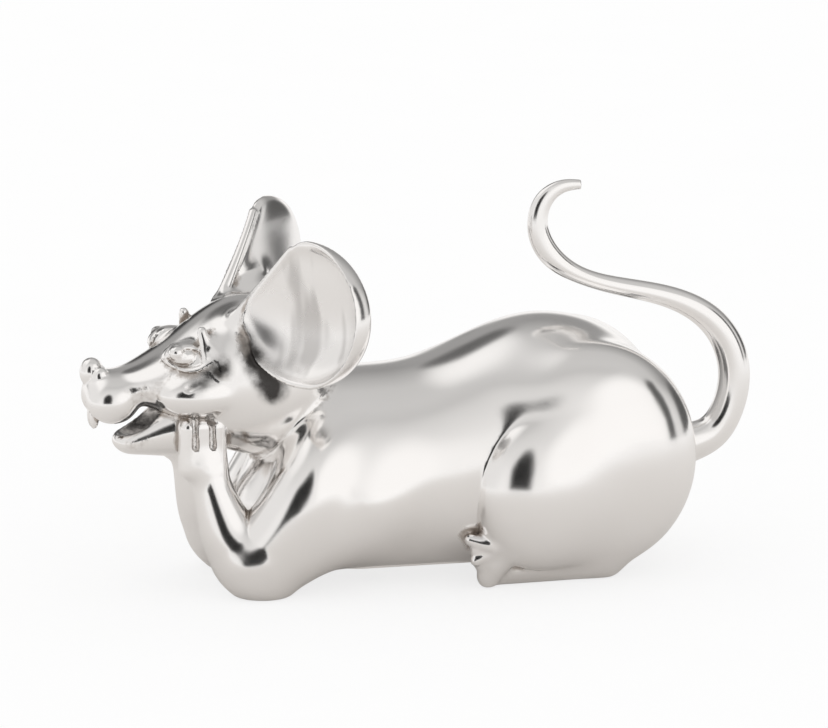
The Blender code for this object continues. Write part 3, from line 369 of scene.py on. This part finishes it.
# The head is a second hollow casting, set on the neck: a long snout with a button nose, two front teeth under
# it, almond eyes in raised lids, and a sharp fold of skin behind each eye.
HEAD = Loft([
    (-74.5, 44.6, 44.6, 0.0), (-72.8, 41.0, 48.3, 4.2), (-68.0, 40.0, 49.2, 6.6), (-62.0, 41.0, 51.0, 8.8),
    (-56.0, 38.0, 54.7, 11.6), (-50.0, 34.0, 59.3, 13.8), (-44.0, 30.6, 62.9, 15.2),
    (-38.0, 28.8, 64.5, 15.6), (-32.0, 28.8, 63.9, 15.0), (-26.0, 32.0, 60.1, 12.8),
    (-21.4, 39.0, 53.9, 8.2), (-19.5, 46.5, 46.5, 0.0),
])
LIP = (-68.4, 3.2, 42.6), (5.6, 4.6, 4.8)
LIP_FILLET = 2.5
CHEEK = (-49.8, 9.8, 45.0), (10.0, 5.9, 5.2)
CHEEK_FILLET = 1.6
CHEEK_GROOVE = (-45.8, 15.6, 52.6), (-54.0, 14.6, 47.6), 1.5, 0.7
GROOVE_FILLET = 1.4
NOSE_TIP = (-72.5, 0.0, 48.7), (2.6, 2.4, 3.3)
NOSE_FILLET = 0.6
NOSTRIL = (-70.9, 2.2, 47.9), (1.9, 1.6, 2.3)
NOSTRIL_FILLET = 0.4
EYE_SOCKET = (-53.4, 7.6, 53.2), (4.6, 2.9, 3.2)
SOCKET_FILLET = 1.5
EYE = (-53.5, 8.7, 53.1), (3.5, 2.6, 2.1)
EYE_FILLET = 0.3
IRIS = (-55.5, 9.7, 54.3), (1.8, 1.6, 1.6)
IRIS_FILLET = 0.4
UPPER_LID = -53.4, 50.0, 5.6
LOWER_LID = -53.6, 57.0, 6.2
LID_RADIUS = 0.55
LID_START = 6.0
LID_FILLET = 0.5
BROW_FRONT = (-50.0, 9.4, 58.8), (-49.4, 12.0, 51.8), 0.9, 1.2
BROW_BACK = (-49.8, 9.6, 58.2), (-46.6, 13.0, 51.2), 0.9, 1.3
BROW_WEB = 1.2
BROW_SEAM = 0.6
BROW_FILLET = 3.4
BROW_SOFTENS = -50.0, -47.0
TOOTH = (-72.2, 1.15, 39.3), (1.1, 1.05, 3.1)
TOOTH_FILLET = 0.4


def head_form(x, y, z):
    """The head without ears and jaw. The lids are a bead on the skin, along two arcs seen from the side."""
    form = melt(HEAD(x, y, z), blob(x, y, z, *LIP), LIP_FILLET)
    form = melt(form, blob(x, y, z, *CHEEK), CHEEK_FILLET)
    form = carve(form, rod(x, y, z, *CHEEK_GROOVE), GROOVE_FILLET)
    nose = melt(blob(x, y, z, *NOSE_TIP), blob(x, y, z, *NOSTRIL), NOSTRIL_FILLET)
    form = melt(form, nose, NOSE_FILLET)
    form = melt(form, blob(x, y, z, *EYE_SOCKET), SOCKET_FILLET)
    upper, lower = (np.hypot(x - cx, z - cz) - r for cx, cz, r in (UPPER_LID, LOWER_LID))
    lids = np.maximum(np.hypot(np.maximum(upper, lower), form) - LID_RADIUS, LID_START - y)
    form = melt(form, melt(blob(x, y, z, *EYE), blob(x, y, z, *IRIS), IRIS_FILLET), EYE_FILLET)
    form = melt(form, lids, LID_FILLET)
    brow = melt(rod(x, y, z, *BROW_FRONT), rod(x, y, z, *BROW_BACK), BROW_WEB)
    form = melt(form, brow, BROW_SEAM + BROW_FILLET * ramp(x, *BROW_SOFTENS))
    return melt(form, blob(x, y, z, *TOOTH), TOOTH_FILLET)


# The lower jaw is a small open scoop, cast by itself and fixed under the snout, so that the rat smiles. Its
# inside is painted dark, as painted shade in the hollow.
JAW = Loft([
    (-68.0, 33.2, 33.2, 0.0), (-66.6, 31.0, 35.2, 3.6), (-62.0, 29.9, 38.5, 6.0), (-57.0, 29.4, 42.0, 7.8),
    (-52.0, 29.6, 43.0, 8.6), (-47.0, 35.0, 35.0, 0.0),
])
SCOOP = (-62.5, 0.0, 40.3), (7.6, 5.6, 6.8)
SCOOP_EDGE = 0.8


def jaw_form(x, y, z):
    return carve(JAW(x, y, z), blob(x, y, z, *SCOOP), SCOOP_EDGE)


# Each ear is a thin open cup with a soft rim, turned half forward and half outward and set on the head by a
# thick root. Its front edge is straight, and a bead along that edge runs down to the forehead.
EAR_CENTRE = np.array((-30.4, 23.6, 64.5))
EAR_TURN = math.radians(45.0)
EAR_LIFT = math.radians(5.0)
EAR_WALL = 1.5
EAR_REAR = 16.5
EAR_FRONT = 15.9
EAR_TALL = 16.1
EAR_CHORD = 12.6
EAR_CHORD_ACROSS = 0.739, 0.674
EAR_CHORD_EDGE = 3.0
EAR_MOUTH = 12.0
EAR_SHALLOW = 3.8
EAR_DEEPER = 3.6
EAR_DEEPER_BELOW = -13.0, 11.0
EAR_RIM = 0.5
EAR_RIM_SLOPE = 0.25
EAR_RIM_EDGE = 0.8
HOLLOW_MOUTH = 8.0
HOLLOW_FRONT = 0.5
HOLLOW_REAR = -0.9
HOLLOW_TALL = -0.7
EAR_AXIS = np.array((
    -math.cos(EAR_LIFT) * math.cos(EAR_TURN), math.cos(EAR_LIFT) * math.sin(EAR_TURN), math.sin(EAR_LIFT)
))
EAR_FORWARD = np.array((-math.sin(EAR_TURN), -math.cos(EAR_TURN), 0.0))
EAR_UP = np.cross(EAR_AXIS, EAR_FORWARD)
EAR_EDGE = tuple(
    (*(EAR_CENTRE + fore * EAR_FORWARD + up * EAR_UP + out * EAR_AXIS), radius)
    for fore, up, out, radius in (
        (4.4, 13.6, -0.6, 0.8), (9.2, 8.6, -2.0, 0.8), (13.8, 3.4, -2.6, 0.9), (18.8, -3.0, -2.8, 1.5),
    )
)
EAR_ROOT = (-32.4, 13.4, 56.4), (7.4, 7.0, 7.6)
EAR_RIDGE = (-32.0, 16.8, 65.2), (-40.4, 8.8, 59.7), 1.4, 2.8
EAR_FILLET = 4.0


def ear_place(x, y, z):
    """How far a point lies out of the ear's mouth, towards the face, and up."""
    px, py, pz = (v - m for v, m in zip((x, y, z), EAR_CENTRE))
    return tuple(px * a[0] + py * a[1] + pz * a[2] for a in (EAR_AXIS, EAR_FORWARD, EAR_UP))


def ear_cup(x, y, z, wall):
    """The outside of the cup, cut at its front edge and mouth, or its hollow when the wall is taken off."""
    out, fore, up = ear_place(x, y, z)
    bowl = EAR_SHALLOW + EAR_DEEPER * (1 - ramp(up, *EAR_DEEPER_BELOW))
    deep = np.where(out > wall, EAR_MOUTH + HOLLOW_MOUTH * wall, bowl)
    wide = np.where(fore > 0, EAR_FRONT + HOLLOW_FRONT * wall, EAR_REAR + HOLLOW_REAR * wall)
    tall = EAR_TALL + HOLLOW_TALL * wall
    a, b, c = (out - wall) / deep, fore / wide, up / tall
    size = np.sqrt(a * a + b * b + c * c)
    steep = np.sqrt((a / deep) ** 2 + (b / wide) ** 2 + (c / tall) ** 2)
    cup = size * (size - 1) / np.maximum(steep, 1e-6)
    if wall:
        return cup
    cup = carve(cup, EAR_CHORD - EAR_CHORD_ACROSS[0] * fore - EAR_CHORD_ACROSS[1] * up, EAR_CHORD_EDGE)
    return carve(cup, EAR_RIM + EAR_RIM_SLOPE * np.maximum(-fore, 0) - out, EAR_RIM_EDGE)


def ear_block(x, y, z):
    """The ear before it is hollowed."""
    root = melt(blob(x, y, z, *EAR_ROOT), rod(x, y, z, *EAR_RIDGE), EAR_FILLET)
    return melt(ear_cup(x, y, z, 0.0), root, EAR_FILLET)


def ear_form(x, y, z):
    return carve(ear_block(x, y, z), ear_cup(x, y, z, EAR_WALL), EAR_RIM_EDGE)


# Each arm is cast with its hand and set on a dowel in the shoulder. The upper arm runs down to an elbow that
# stands on the table, and the forearm comes up to the cheek, with two slots that part three fingers.
UPPER_ARM = (
    (-24.0, 9.5, 31.5, 7.0), (-26.5, 17.2, 27.0, 9.2), (-29.9, 16.4, 17.1, 8.8), (-38.7, 12.8, 8.5, 7.9),
)
FOREARM = (
    (-39.4, 12.8, 8.6, 7.8), (-45.8, 12.6, 11.2, 7.0), (-46.4, 11.0, 20.3, 4.4), (-49.6, 9.6, 28.8, 3.8),
)
SLEEVE = (-16.0, 14.0, 20.0), (-36.0, 13.4, 7.2), 9.2, 7.3
SLEEVE_FILLET = 8.0
ELBOW = (-38.8, 12.8, 8.6), (-37.4, 12.8, 4.0), 7.8, 5.2
ELBOW_FILLET = 4.0
CROOK = 0.5
CROOK_FILLET = 7.0
CROOK_SHARPENS = 2.0, 17.0
HAND = (-50.2, 10.4, 33.2), (3.0, 0.5, 4.6), 2.2
WRIST_FILLET = 4.0
FINGER_PITCH = 3.8
FINGER_SLOT = (-50.3, 12.1, 33.6), (-50.5, 11.7, 42.0), 1.0, 1.15
SLOT_EDGE = 0.6


def limb(x, y, z, stations):
    """A limb that bends through a smooth curve drawn by four stations of (x, y, z, radius)."""
    p, q, r, s = np.array(stations, float)
    powers = np.stack([p, 3 * (q - p), 3 * (r - 2 * q + p), s - 3 * r + 3 * q - p])

    def at(t, i):
        return powers[0, i] + t * (powers[1, i] + t * (powers[2, i] + t * powers[3, i]))

    best = np.full(np.shape(x), 1e9)
    where = np.zeros(np.shape(x))
    for t in np.linspace(0, 1, 11):
        away = (x - at(t, 0)) ** 2 + (y - at(t, 1)) ** 2 + (z - at(t, 2)) ** 2
        where = np.where(away < best, t, where)
        best = np.minimum(away, best)
    for _ in range(3):
        pull = 0.0
        stiff = 0.0
        for i, v in enumerate((x, y, z)):
            off = at(where, i) - v
            rate = powers[1, i] + where * (2 * powers[2, i] + where * 3 * powers[3, i])
            pull = pull + off * rate
            stiff = stiff + rate * rate + off * (2 * powers[2, i] + 6 * powers[3, i] * where)
        where = np.clip(where - pull / np.maximum(stiff, 1.0), 0, 1)
    away = sum((at(where, i) - v) ** 2 for i, v in enumerate((x, y, z)))
    return np.sqrt(away) - at(where, 3)


def slab(x, y, z, centre, half, rounding):
    """A block with rounded edges."""
    a, b, c = (np.abs(v - m) - h for v, m, h in zip((x, y, z), centre, half))
    outside = np.sqrt(np.maximum(a, 0) ** 2 + np.maximum(b, 0) ** 2 + np.maximum(c, 0) ** 2)
    return outside + np.minimum(np.maximum(np.maximum(a, b), c), 0) - rounding


def arm_form(x, y, z):
    upper = melt(limb(x, y, z, UPPER_ARM), rod(x, y, z, *SLEEVE), SLEEVE_FILLET)
    forearm = melt(limb(x, y, z, FOREARM), rod(x, y, z, *ELBOW), ELBOW_FILLET)
    arm = melt(upper, forearm, CROOK + CROOK_FILLET * (1 - ramp(z, *CROOK_SHARPENS)))
    arm = melt(arm, slab(x, y, z, *HAND), WRIST_FILLET)
    for i in (-0.5, 0.5):
        arm = carve(arm, rod(x - i * FINGER_PITCH, y, z, *FINGER_SLOT), SLOT_EDGE)
    return carve(arm, z, SOLE_EDGE)


# The castings are fitted together, filled and polished as one, so their skins run on from one into the next:
# the whole skin is drawn once and then parted at the seams. The silver plate on it is buffed on the bulges,
# satin in the ear cups with painted grey streaks of reflection there, keeps brown residue in the folds, and
# has painted black shade behind the eyes, under the brows and inside the jaw's scoop.
CASTINGS = trunk_form, head_form, jaw_form, ear_form, arm_form
JAW_SEAM = 0.8
EAR_SEAM = 3.0
CUP_EDGE = 0.9
CUP_FILLET = 5.0
CUP_NEAR_HEAD = 3.0
BEAD_SEAM = 1.2
BEAD_FILLET = 3.5
BEAD_NEAR_HEAD = 4.0
NEAR_HEAD_RUN = 5.0
ARM_SEAM = 1.0
ARM_FILLET = 12.0
ARM_SOFTENS = -37.0, -27.0
NECK_SEAM = 0.6
NECK_FILLET = 3.4
NECK_SOFTENS = -42.0, -30.0
FINE = 0.55
THIN = 0.42
COARSE = 0.85
SEAM_ROUNDS = 6


def whole(x, y, z):
    """All the castings as one form, with the fillets of their seams."""
    y = np.abs(y)
    head = head_form(x, y, z)
    face = melt(head, jaw_form(x, y, z), JAW_SEAM)
    face = melt(face, ear_block(x, y, z), EAR_SEAM)
    cup_fillet = CUP_EDGE + CUP_FILLET * ramp(CUP_NEAR_HEAD - head, 0, NEAR_HEAD_RUN)
    face = carve(face, ear_cup(x, y, z, EAR_WALL), cup_fillet)
    bead_fillet = BEAD_SEAM + BEAD_FILLET * ramp(BEAD_NEAR_HEAD - head, 0, NEAR_HEAD_RUN)
    face = melt(face, limb(x, y, z, EAR_EDGE), bead_fillet)
    shoulder = ARM_SEAM + ARM_FILLET * ramp(x, *ARM_SOFTENS)
    body = melt(trunk_form(x, y, z), arm_form(x, y, z), shoulder)
    return melt(body, face, NECK_SEAM + NECK_FILLET * ramp(x, *NECK_SOFTENS))


def corners(values, shape):
    """The eight shifted views of a grid of values that give each cell its corners."""
    for a, b, c in np.ndindex(2, 2, 2):
        yield values[a : a + shape[0], b : b + shape[1], c : c + shape[2]]


def sample(lines, block=4, margin=0.9):
    """The whole form on a grid: true values in blocks that the surface may pass, and only signs elsewhere."""
    shape = tuple(len(line) for line in lines)
    stops = [np.unique(np.append(np.arange(0, n, block), n - 1)) for n in shape]
    x, y, z = np.meshgrid(*(line[stop] for line, stop in zip(lines, stops)), indexing="ij")
    rough = whole(x.ravel(), y.ravel(), z.ravel()).reshape(x.shape)
    reach = margin * math.sqrt(sum((block * np.diff(line).max()) ** 2 for line in lines))
    blocks = tuple(n - 1 for n in rough.shape)
    close = np.any(list(corners(np.abs(rough) < reach, blocks)), 0)
    field = np.ones(shape, np.float32)
    mask = np.zeros(shape, bool)
    for place in np.ndindex(*blocks):
        part = tuple(slice(stop[n], stop[n + 1] + 1) for stop, n in zip(stops, place))
        if close[place]:
            mask[part] = True
        else:
            field[part] = 1.0 if rough[place] > 0 else -1.0
    at = np.argwhere(mask)
    field[mask] = whole(*(line[n] for line, n in zip(lines, at.T)))
    return field


def skin(lines):
    """The surface where the whole form is zero: a point in each cell that it crosses, and quads."""
    field = sample(lines)
    inside = field < 0
    cells = tuple(n - 1 for n in field.shape)
    full = sum(corner.astype(np.int8) for corner in corners(inside, cells))
    active = np.argwhere((full > 0) & (full < 8))
    number = np.full(cells, -1, np.int64)
    number[tuple(active.T)] = np.arange(len(active))
    total = np.zeros((len(active), 3))
    count = np.zeros(len(active))
    for axis in range(3):
        others = [n for n in range(3) if n != axis]
        for shift in np.ndindex(2, 2):
            first = active.copy()
            first[:, others] += shift
            second = first.copy()
            second[:, axis] += 1
            f0, f1 = field[tuple(first.T)], field[tuple(second.T)]
            cross = (f0 < 0) != (f1 < 0)
            t = np.where(cross, f0 / np.where(cross, f0 - f1, 1), 0)
            point = np.stack([line[first[:, n]] for n, line in enumerate(lines)], 1)
            point[:, axis] += t * (lines[axis][second[:, axis]] - lines[axis][first[:, axis]])
            total += point * cross[:, None]
            count += cross
    quads = []
    for axis in range(3):
        n1, n2 = (axis + 1) % 3, (axis + 2) % 3
        starts = np.take(inside, range(cells[axis]), axis)
        edges = np.argwhere(starts != np.take(inside, range(1, cells[axis] + 1), axis))
        for n in (n1, n2):
            edges = edges[(edges[:, n] > 0) & (edges[:, n] < cells[n])]
        ring = []
        for back in ((1, 1), (0, 1), (0, 0), (1, 0)):
            cell = edges.copy()
            cell[:, (n1, n2)] -= back
            ring.append(number[tuple(cell.T)])
        ring = np.stack(ring, 1)
        flip = ~starts[tuple(edges.T)]
        ring[flip] = ring[flip][:, ::-1]
        quads.append(ring)
    return total / count[:, None], np.concatenate(quads)


def settle(points, quads, rounds=2, short=0.02, step=0.04, stride=0.4, ease=0.5):
    """Evens out the points along the surface, puts them back on it, and gives the surface's normals there."""
    for turn in range(rounds + 1):
        value = whole(*points.T)
        slope = np.stack([whole(*(points + shift).T) - value for shift in short * np.eye(3)], 1) / short
        steep = np.maximum((slope**2).sum(1), 0.05)
        points = points - np.clip(value / steep, -stride, stride)[:, None] * slope
        if turn < rounds:
            total = np.zeros_like(points)
            count = np.zeros(len(points))
            for i in range(4):
                for j in ((i + 1) % 4, (i - 1) % 4):
                    np.add.at(total, quads[:, i], points[quads[:, j]])
                    np.add.at(count, quads[:, i], 1)
            pull = total / count[:, None] - points
            points = points + ease * (pull - ((pull * slope).sum(1) / steep)[:, None] * slope)
    shifts = step * np.eye(3)
    slope = np.stack([whole(*(points + s).T) - whole(*(points - s).T) for s in shifts], 1) / (2 * step)
    return points, slope / np.linalg.norm(slope, axis=1, keepdims=True)


def grid(*runs):
    """The places of grid lines, in runs of (start, end, step)."""
    return np.concatenate([np.arange(*run) for run in runs])


x_lines = grid((-77.0, -14.0, FINE), (-14.0, 63.0, COARSE))
y_lines = grid((FINE / 2, 21.0, FINE), (21.1, 39.0, THIN))
z_lines = grid((-1.1, 58.0, FINE), (58.2, 82.0, THIN))
points, quads = skin((x_lines, np.concatenate([-y_lines[::-1], y_lines]), z_lines))
points, normals = settle(points, quads)

x, y, z = points[quads].mean(1).T
on_right = y > 0
owner = np.argmin([form(x, np.abs(y), z) for form in CASTINGS], 0)
for _ in range(SEAM_ROUNDS):
    votes = np.zeros((len(points), len(CASTINGS)))
    for i in range(4):
        np.add.at(votes, (quads[:, i], owner), 1)
    owner = votes[quads].sum(1).argmax(1)

PLATE_COOL = (0.93, 0.915, 0.90, 1)
PLATE_BRIGHT = (0.98, 0.97, 0.965, 1)
FOLD_BROWN = (0.34, 0.28, 0.23, 1)
PAINTED_REFLECTION_GREY = (0.46, 0.445, 0.435, 1)
PAINTED_SHADE_BLACK = (0.05, 0.047, 0.045, 1)
PAINTED_STREAK_STRETCH = (150.0, 150.0, 26.0)


def polished_plate():
    """Silver plate: buffed on the bulges, satin in the ear cups with painted grey reflection streaks, dull
    and brown in the folds, and painted black shade in a few dark places.
    """
    material, surface = new_material("polished_silver_plate")
    where = surface.node("ShaderNodeTexCoord", out="Object")

    def mask(name):
        return surface.node("ShaderNodeAttribute", {"attribute_name": name}, out="Fac")

    def clouds(scale, detail, place=where):
        return surface.node("ShaderNodeTexNoise", out="Fac", Vector=place, Scale=scale, Detail=detail)

    patches = clouds(45.0, 3.0)
    grit = clouds(900.0, 3.0)
    fold = (mask("fold") + 0.5 * (grit - 0.5) * mask("fold").step(0.1, 0.3)).step(0.24, 0.66)
    soot = (mask("soot") + 0.9 * (clouds(300.0, 5.0) - 0.5) * mask("soot").step(0.0, 0.4)).step(0.05, 0.8)
    cup = mask("cup")
    # Painted reflection: grey streaks painted into the ear cups stand in for the darker things that the cups
    # mirror.
    streak_place = surface.node("ShaderNodeVectorMath", {"operation": "MULTIPLY"}, i0=where, i1=PAINTED_STREAK_STRETCH)
    painted_streaks = clouds(1.0, 2.0, streak_place).step(0.50, 0.66)
    plate = patches.mix(PLATE_COOL, PLATE_BRIGHT)
    dull = (fold * (0.45 + 0.5 * clouds(260.0, 3.0))).mix(plate, FOLD_BROWN)
    cup_with_painted_streaks = (cup * 0.55 * painted_streaks).mix(dull, PAINTED_REFLECTION_GREY)
    # Painted shade: near-black colour painted behind the eye, under the brow and inside the jaw's scoop.
    plate_with_painted_shade = (0.98 * soot).mix(cup_with_painted_streaks, PAINTED_SHADE_BLACK)
    uneven = 0.05 * (clouds(160.0, 4.0) - 0.5)
    roughness = 0.12 + 0.06 * patches + 0.24 * fold + 0.12 * cup + 0.12 * soot + uneven
    wave = surface.node("ShaderNodeBump", Strength=0.10, Distance=0.002, Height=clouds(70.0, 1.0))
    pits = grit * (0.05 + fold.either(soot))
    rough_cast = surface.node("ShaderNodeBump", Strength=0.5, Distance=0.0002, Normal=wave, Height=pits)
    surface.node(
        "ShaderNodeBsdfPrincipled", Base_Color=plate_with_painted_shade, Metallic=1.0, Roughness=roughness, Normal=rough_cast
    ).feed(surface)
    return material


# Painted shade: lines behind the eye and under the brow along which near-black shade is painted; the jaw's
# scoop gets some too.
PAINTED_SHADE_LINES = (
    ((-41.6, 14.0, 59.6), (-40.6, 14.8, 54.6), 0.6, 1.8),
    ((-40.6, 14.8, 54.6), (-35.3, 15.8, 46.5), 1.8, 2.6),
    ((-46.6, 14.6, 51.6), (-52.2, 13.8, 47.6), 1.6, 0.6),
)
PAINTED_SHADE_SPREAD = 3.0
SCOOP_PAINTED_SHADE = 0.55
SCOOP_RIM = 39.0
FINGERS = (-50.3, 12.0, 37.5), (5.0, 3.0, 6.0)
FINGERS_RUBBED = 0.35
FOLD_REACH = 1.5


def wear(spots, turned):
    """How deep in a fold each point lies, how much painted black shade it takes, and whether it lies in an
    ear cup.
    """
    x, y, z = spots.T
    y = np.abs(y)
    near = whole(*(spots + FOLD_REACH * turned).T) / FOLD_REACH
    rubbed = 1 - ramp(blob(x, y, z, *FINGERS), -1, 1)
    line = np.min([rod(x, y, z, *soot) for soot in PAINTED_SHADE_LINES], 0)
    # Painted shade inside the jaw's scoop, below its rim.
    scoop = (1 - ramp(np.abs(blob(x, y, z, *SCOOP)), 0.3, 1.2)) * ramp(SCOOP_RIM - z, 0, 2)
    hollow = 1 - ramp(np.abs(ear_cup(x, y, z, EAR_WALL)), 0.2, 0.9)
    return {
        "fold": np.clip(1 - near, 0, 1) * (1 - FINGERS_RUBBED * rubbed),
        "soot": np.maximum(1 - ramp(line, -PAINTED_SHADE_SPREAD, PAINTED_SHADE_SPREAD), SCOOP_PAINTED_SHADE * scoop),
        "cup": hollow * ramp(0.2 - ear_place(x, y, z)[0], 0, 1.5),
    }


silver = polished_plate()
CONE_DEPTHS = np.arange(0.0, 14.0, 0.5)


def open_loops(faces):
    """The loops of edges along which these faces end, each in the order that a face closing it needs."""
    uses = {}
    for i in range(4):
        for a, b in zip(faces[:, i], faces[:, (i + 1) % 4]):
            uses[a, b] = uses.get((a, b), 0) + 1
    follow = {}
    for (a, b), times in uses.items():
        for _ in range(times - uses.get((b, a), 0)):
            follow.setdefault(b, []).append(a)
    loops = []
    while follow:
        start = next(iter(follow))
        loop = [start]
        while True:
            ways = follow[loop[-1]]
            step = ways.pop()
            if not ways:
                del follow[loop[-1]]
            if step == start:
                break
            loop.append(step)
        loops.append(loop)
    return loops


def casting(name, faces, node):
    """One casting: its part of the skin, closed inside by cones that run to points within the metal."""
    used, local = np.unique(quads[faces], return_inverse=True)
    local = local.reshape(-1, 4)
    spots, turned = points[used], normals[used]
    cones = []
    tips = []
    for loop in open_loops(local):
        lean = turned[loop].mean(0)
        deep = spots[loop].mean(0) - np.outer(CONE_DEPTHS, lean / max(np.linalg.norm(lean), 1e-6))
        cones += [(a, b, len(spots) + len(tips)) for a, b in zip(loop, loop[1:] + loop[:1])]
        tips.append(deep[np.argmin(whole(*deep.T))])
    mesh = bpy.data.meshes.new(name)
    all_spots = np.concatenate([spots, np.reshape(tips, (-1, 3))]) * MM
    mesh.from_pydata(all_spots.tolist(), [], local.tolist() + cones)
    mesh.shade_smooth()
    shading = np.zeros((len(mesh.loops), 3))
    shading[: local.size] = turned[local.ravel()]
    mesh.normals_split_custom_set(shading.tolist())
    for word, values in wear(spots, turned).items():
        layer = mesh.attributes.new(word, "FLOAT", "POINT")
        layer.data.foreach_set("value", np.append(values, np.zeros(len(tips))).astype(np.float32))
    mesh.materials.append(silver)
    piece = bpy.data.objects.new(name, mesh)
    scene.collection.objects.link(piece)
    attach(piece, "root")
    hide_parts(node)


casting("trunk", owner == CASTINGS.index(trunk_form), "trunk_shell")
casting("head", owner == CASTINGS.index(head_form), "head_shell")
casting("jaw", owner == CASTINGS.index(jaw_form), "lower_jaw")
for word, here in (("left", ~on_right), ("right", on_right)):
    casting(f"{word}_ear_cup", (owner == CASTINGS.index(ear_form)) & here, f"{word}_ear")
    casting(f"{word}_arm_casting", (owner == CASTINGS.index(arm_form)) & here, f"{word}_arm")

# The tail is a tapered rod, bent cold into a bow, a straight run and a hook, with the hook hammered a little
# flat. Its root sits on the rump with a shallow groove round the seam, and its tip is cut square. A station
# gives its x and z, and half its size in the plane of the bends and across it.
TAIL = (
    (57.4, 23.8, 4.7, 4.5), (61.0, 25.0, 4.5, 4.3), (66.9, 27.3, 3.9, 3.8), (70.6, 32.7, 3.6, 3.5),
    (71.9, 42.2, 3.5, 3.3), (68.0, 51.3, 3.2, 3.1), (58.3, 58.0, 2.5, 2.6), (45.0, 61.7, 2.0, 2.2),
    (36.0, 64.9, 1.95, 2.0), (30.0, 69.5, 2.45, 1.9), (27.2, 76.6, 2.3, 1.7), (28.9, 82.0, 2.0, 1.5),
    (32.6, 84.5, 1.5, 1.2), (36.8, 84.8, 1.05, 1.0),
)
TAIL_RINGS = 401
TAIL_SIDES = 40
TAIL_SEAM = 3.4
TAIL_SEAM_DEPTH = 0.9
TAIL_SEAM_WIDTH = 0.55

chord = np.cumsum([0] + [math.dist(a[:2], b[:2]) for a, b in zip(TAIL, TAIL[1:])])
run = np.linspace(0, chord[-1], TAIL_RINGS)
middle_x, middle_z, wide, thick = (Curve(chord, column)(run) for column in zip(*TAIL))
groove = TAIL_SEAM_DEPTH * np.exp(-(((run - TAIL_SEAM) / TAIL_SEAM_WIDTH) ** 2))
heading = np.arctan2(np.gradient(middle_z), np.gradient(middle_x))
around = np.linspace(0, 2 * math.pi, TAIL_SIDES, endpoint=False)
across = (wide - groove)[:, None] * np.cos(around)
tail_points = np.stack([
    middle_x[:, None] - np.sin(heading)[:, None] * across,
    (thick - groove)[:, None] * np.sin(around),
    middle_z[:, None] + np.cos(heading)[:, None] * across,
], 2).reshape(-1, 3)
tail_faces = []
for first in range(0, len(tail_points) - TAIL_SIDES, TAIL_SIDES):
    for a in range(TAIL_SIDES):
        b = (a + 1) % TAIL_SIDES
        tail_faces.append((first + a, first + b, first + TAIL_SIDES + b, first + TAIL_SIDES + a))
tail_faces.append(tuple(range(TAIL_SIDES - 1, -1, -1)))
tail_faces.append(tuple(range(len(tail_points) - TAIL_SIDES, len(tail_points))))
tail_mesh = bpy.data.meshes.new("tail_rod")
tail_mesh.from_pydata((tail_points * MM).tolist(), [], tail_faces)
tail_mesh.shade_smooth()
tail_mesh.materials.append(silver)
tail = bpy.data.objects.new("tail_rod", tail_mesh)
scene.collection.objects.link(tail)
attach(tail, "root")
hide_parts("tail")

# The belly plate, its screws and the parts that hold head, arms and tail stay as they are: the plate and the
# neck plug are plated like the castings, and the rest is plain turned steel.
STEEL_DARK = (0.56, 0.55, 0.53, 1)
STEEL_LIGHT = (0.66, 0.65, 0.63, 1)
PLATED_NODES = "base_plate", "neck_plug"


def plain_steel():
    """Turned steel with fine tool marks and a little variation."""
    material, surface = new_material("fastener_steel")
    where = surface.node("ShaderNodeTexCoord", out="Object")
    marks = surface.node("ShaderNodeTexNoise", out="Fac", Vector=where, Scale=2600.0, Detail=2.0)
    patches = surface.node("ShaderNodeTexNoise", out="Fac", Vector=where, Scale=240.0, Detail=3.0)
    surface.node(
        "ShaderNodeBsdfPrincipled", Base_Color=patches.mix(STEEL_DARK, STEEL_LIGHT), Metallic=1.0,
        Roughness=0.24 + 0.12 * patches + 0.06 * marks,
        Normal=surface.node("ShaderNodeBump", Strength=0.25, Distance=0.0001, Height=marks),
    ).feed(surface)
    return material


steel = plain_steel()
for name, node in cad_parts.items():
    for place in node.material_slots:
        place.material = silver if name in PLATED_NODES else steel
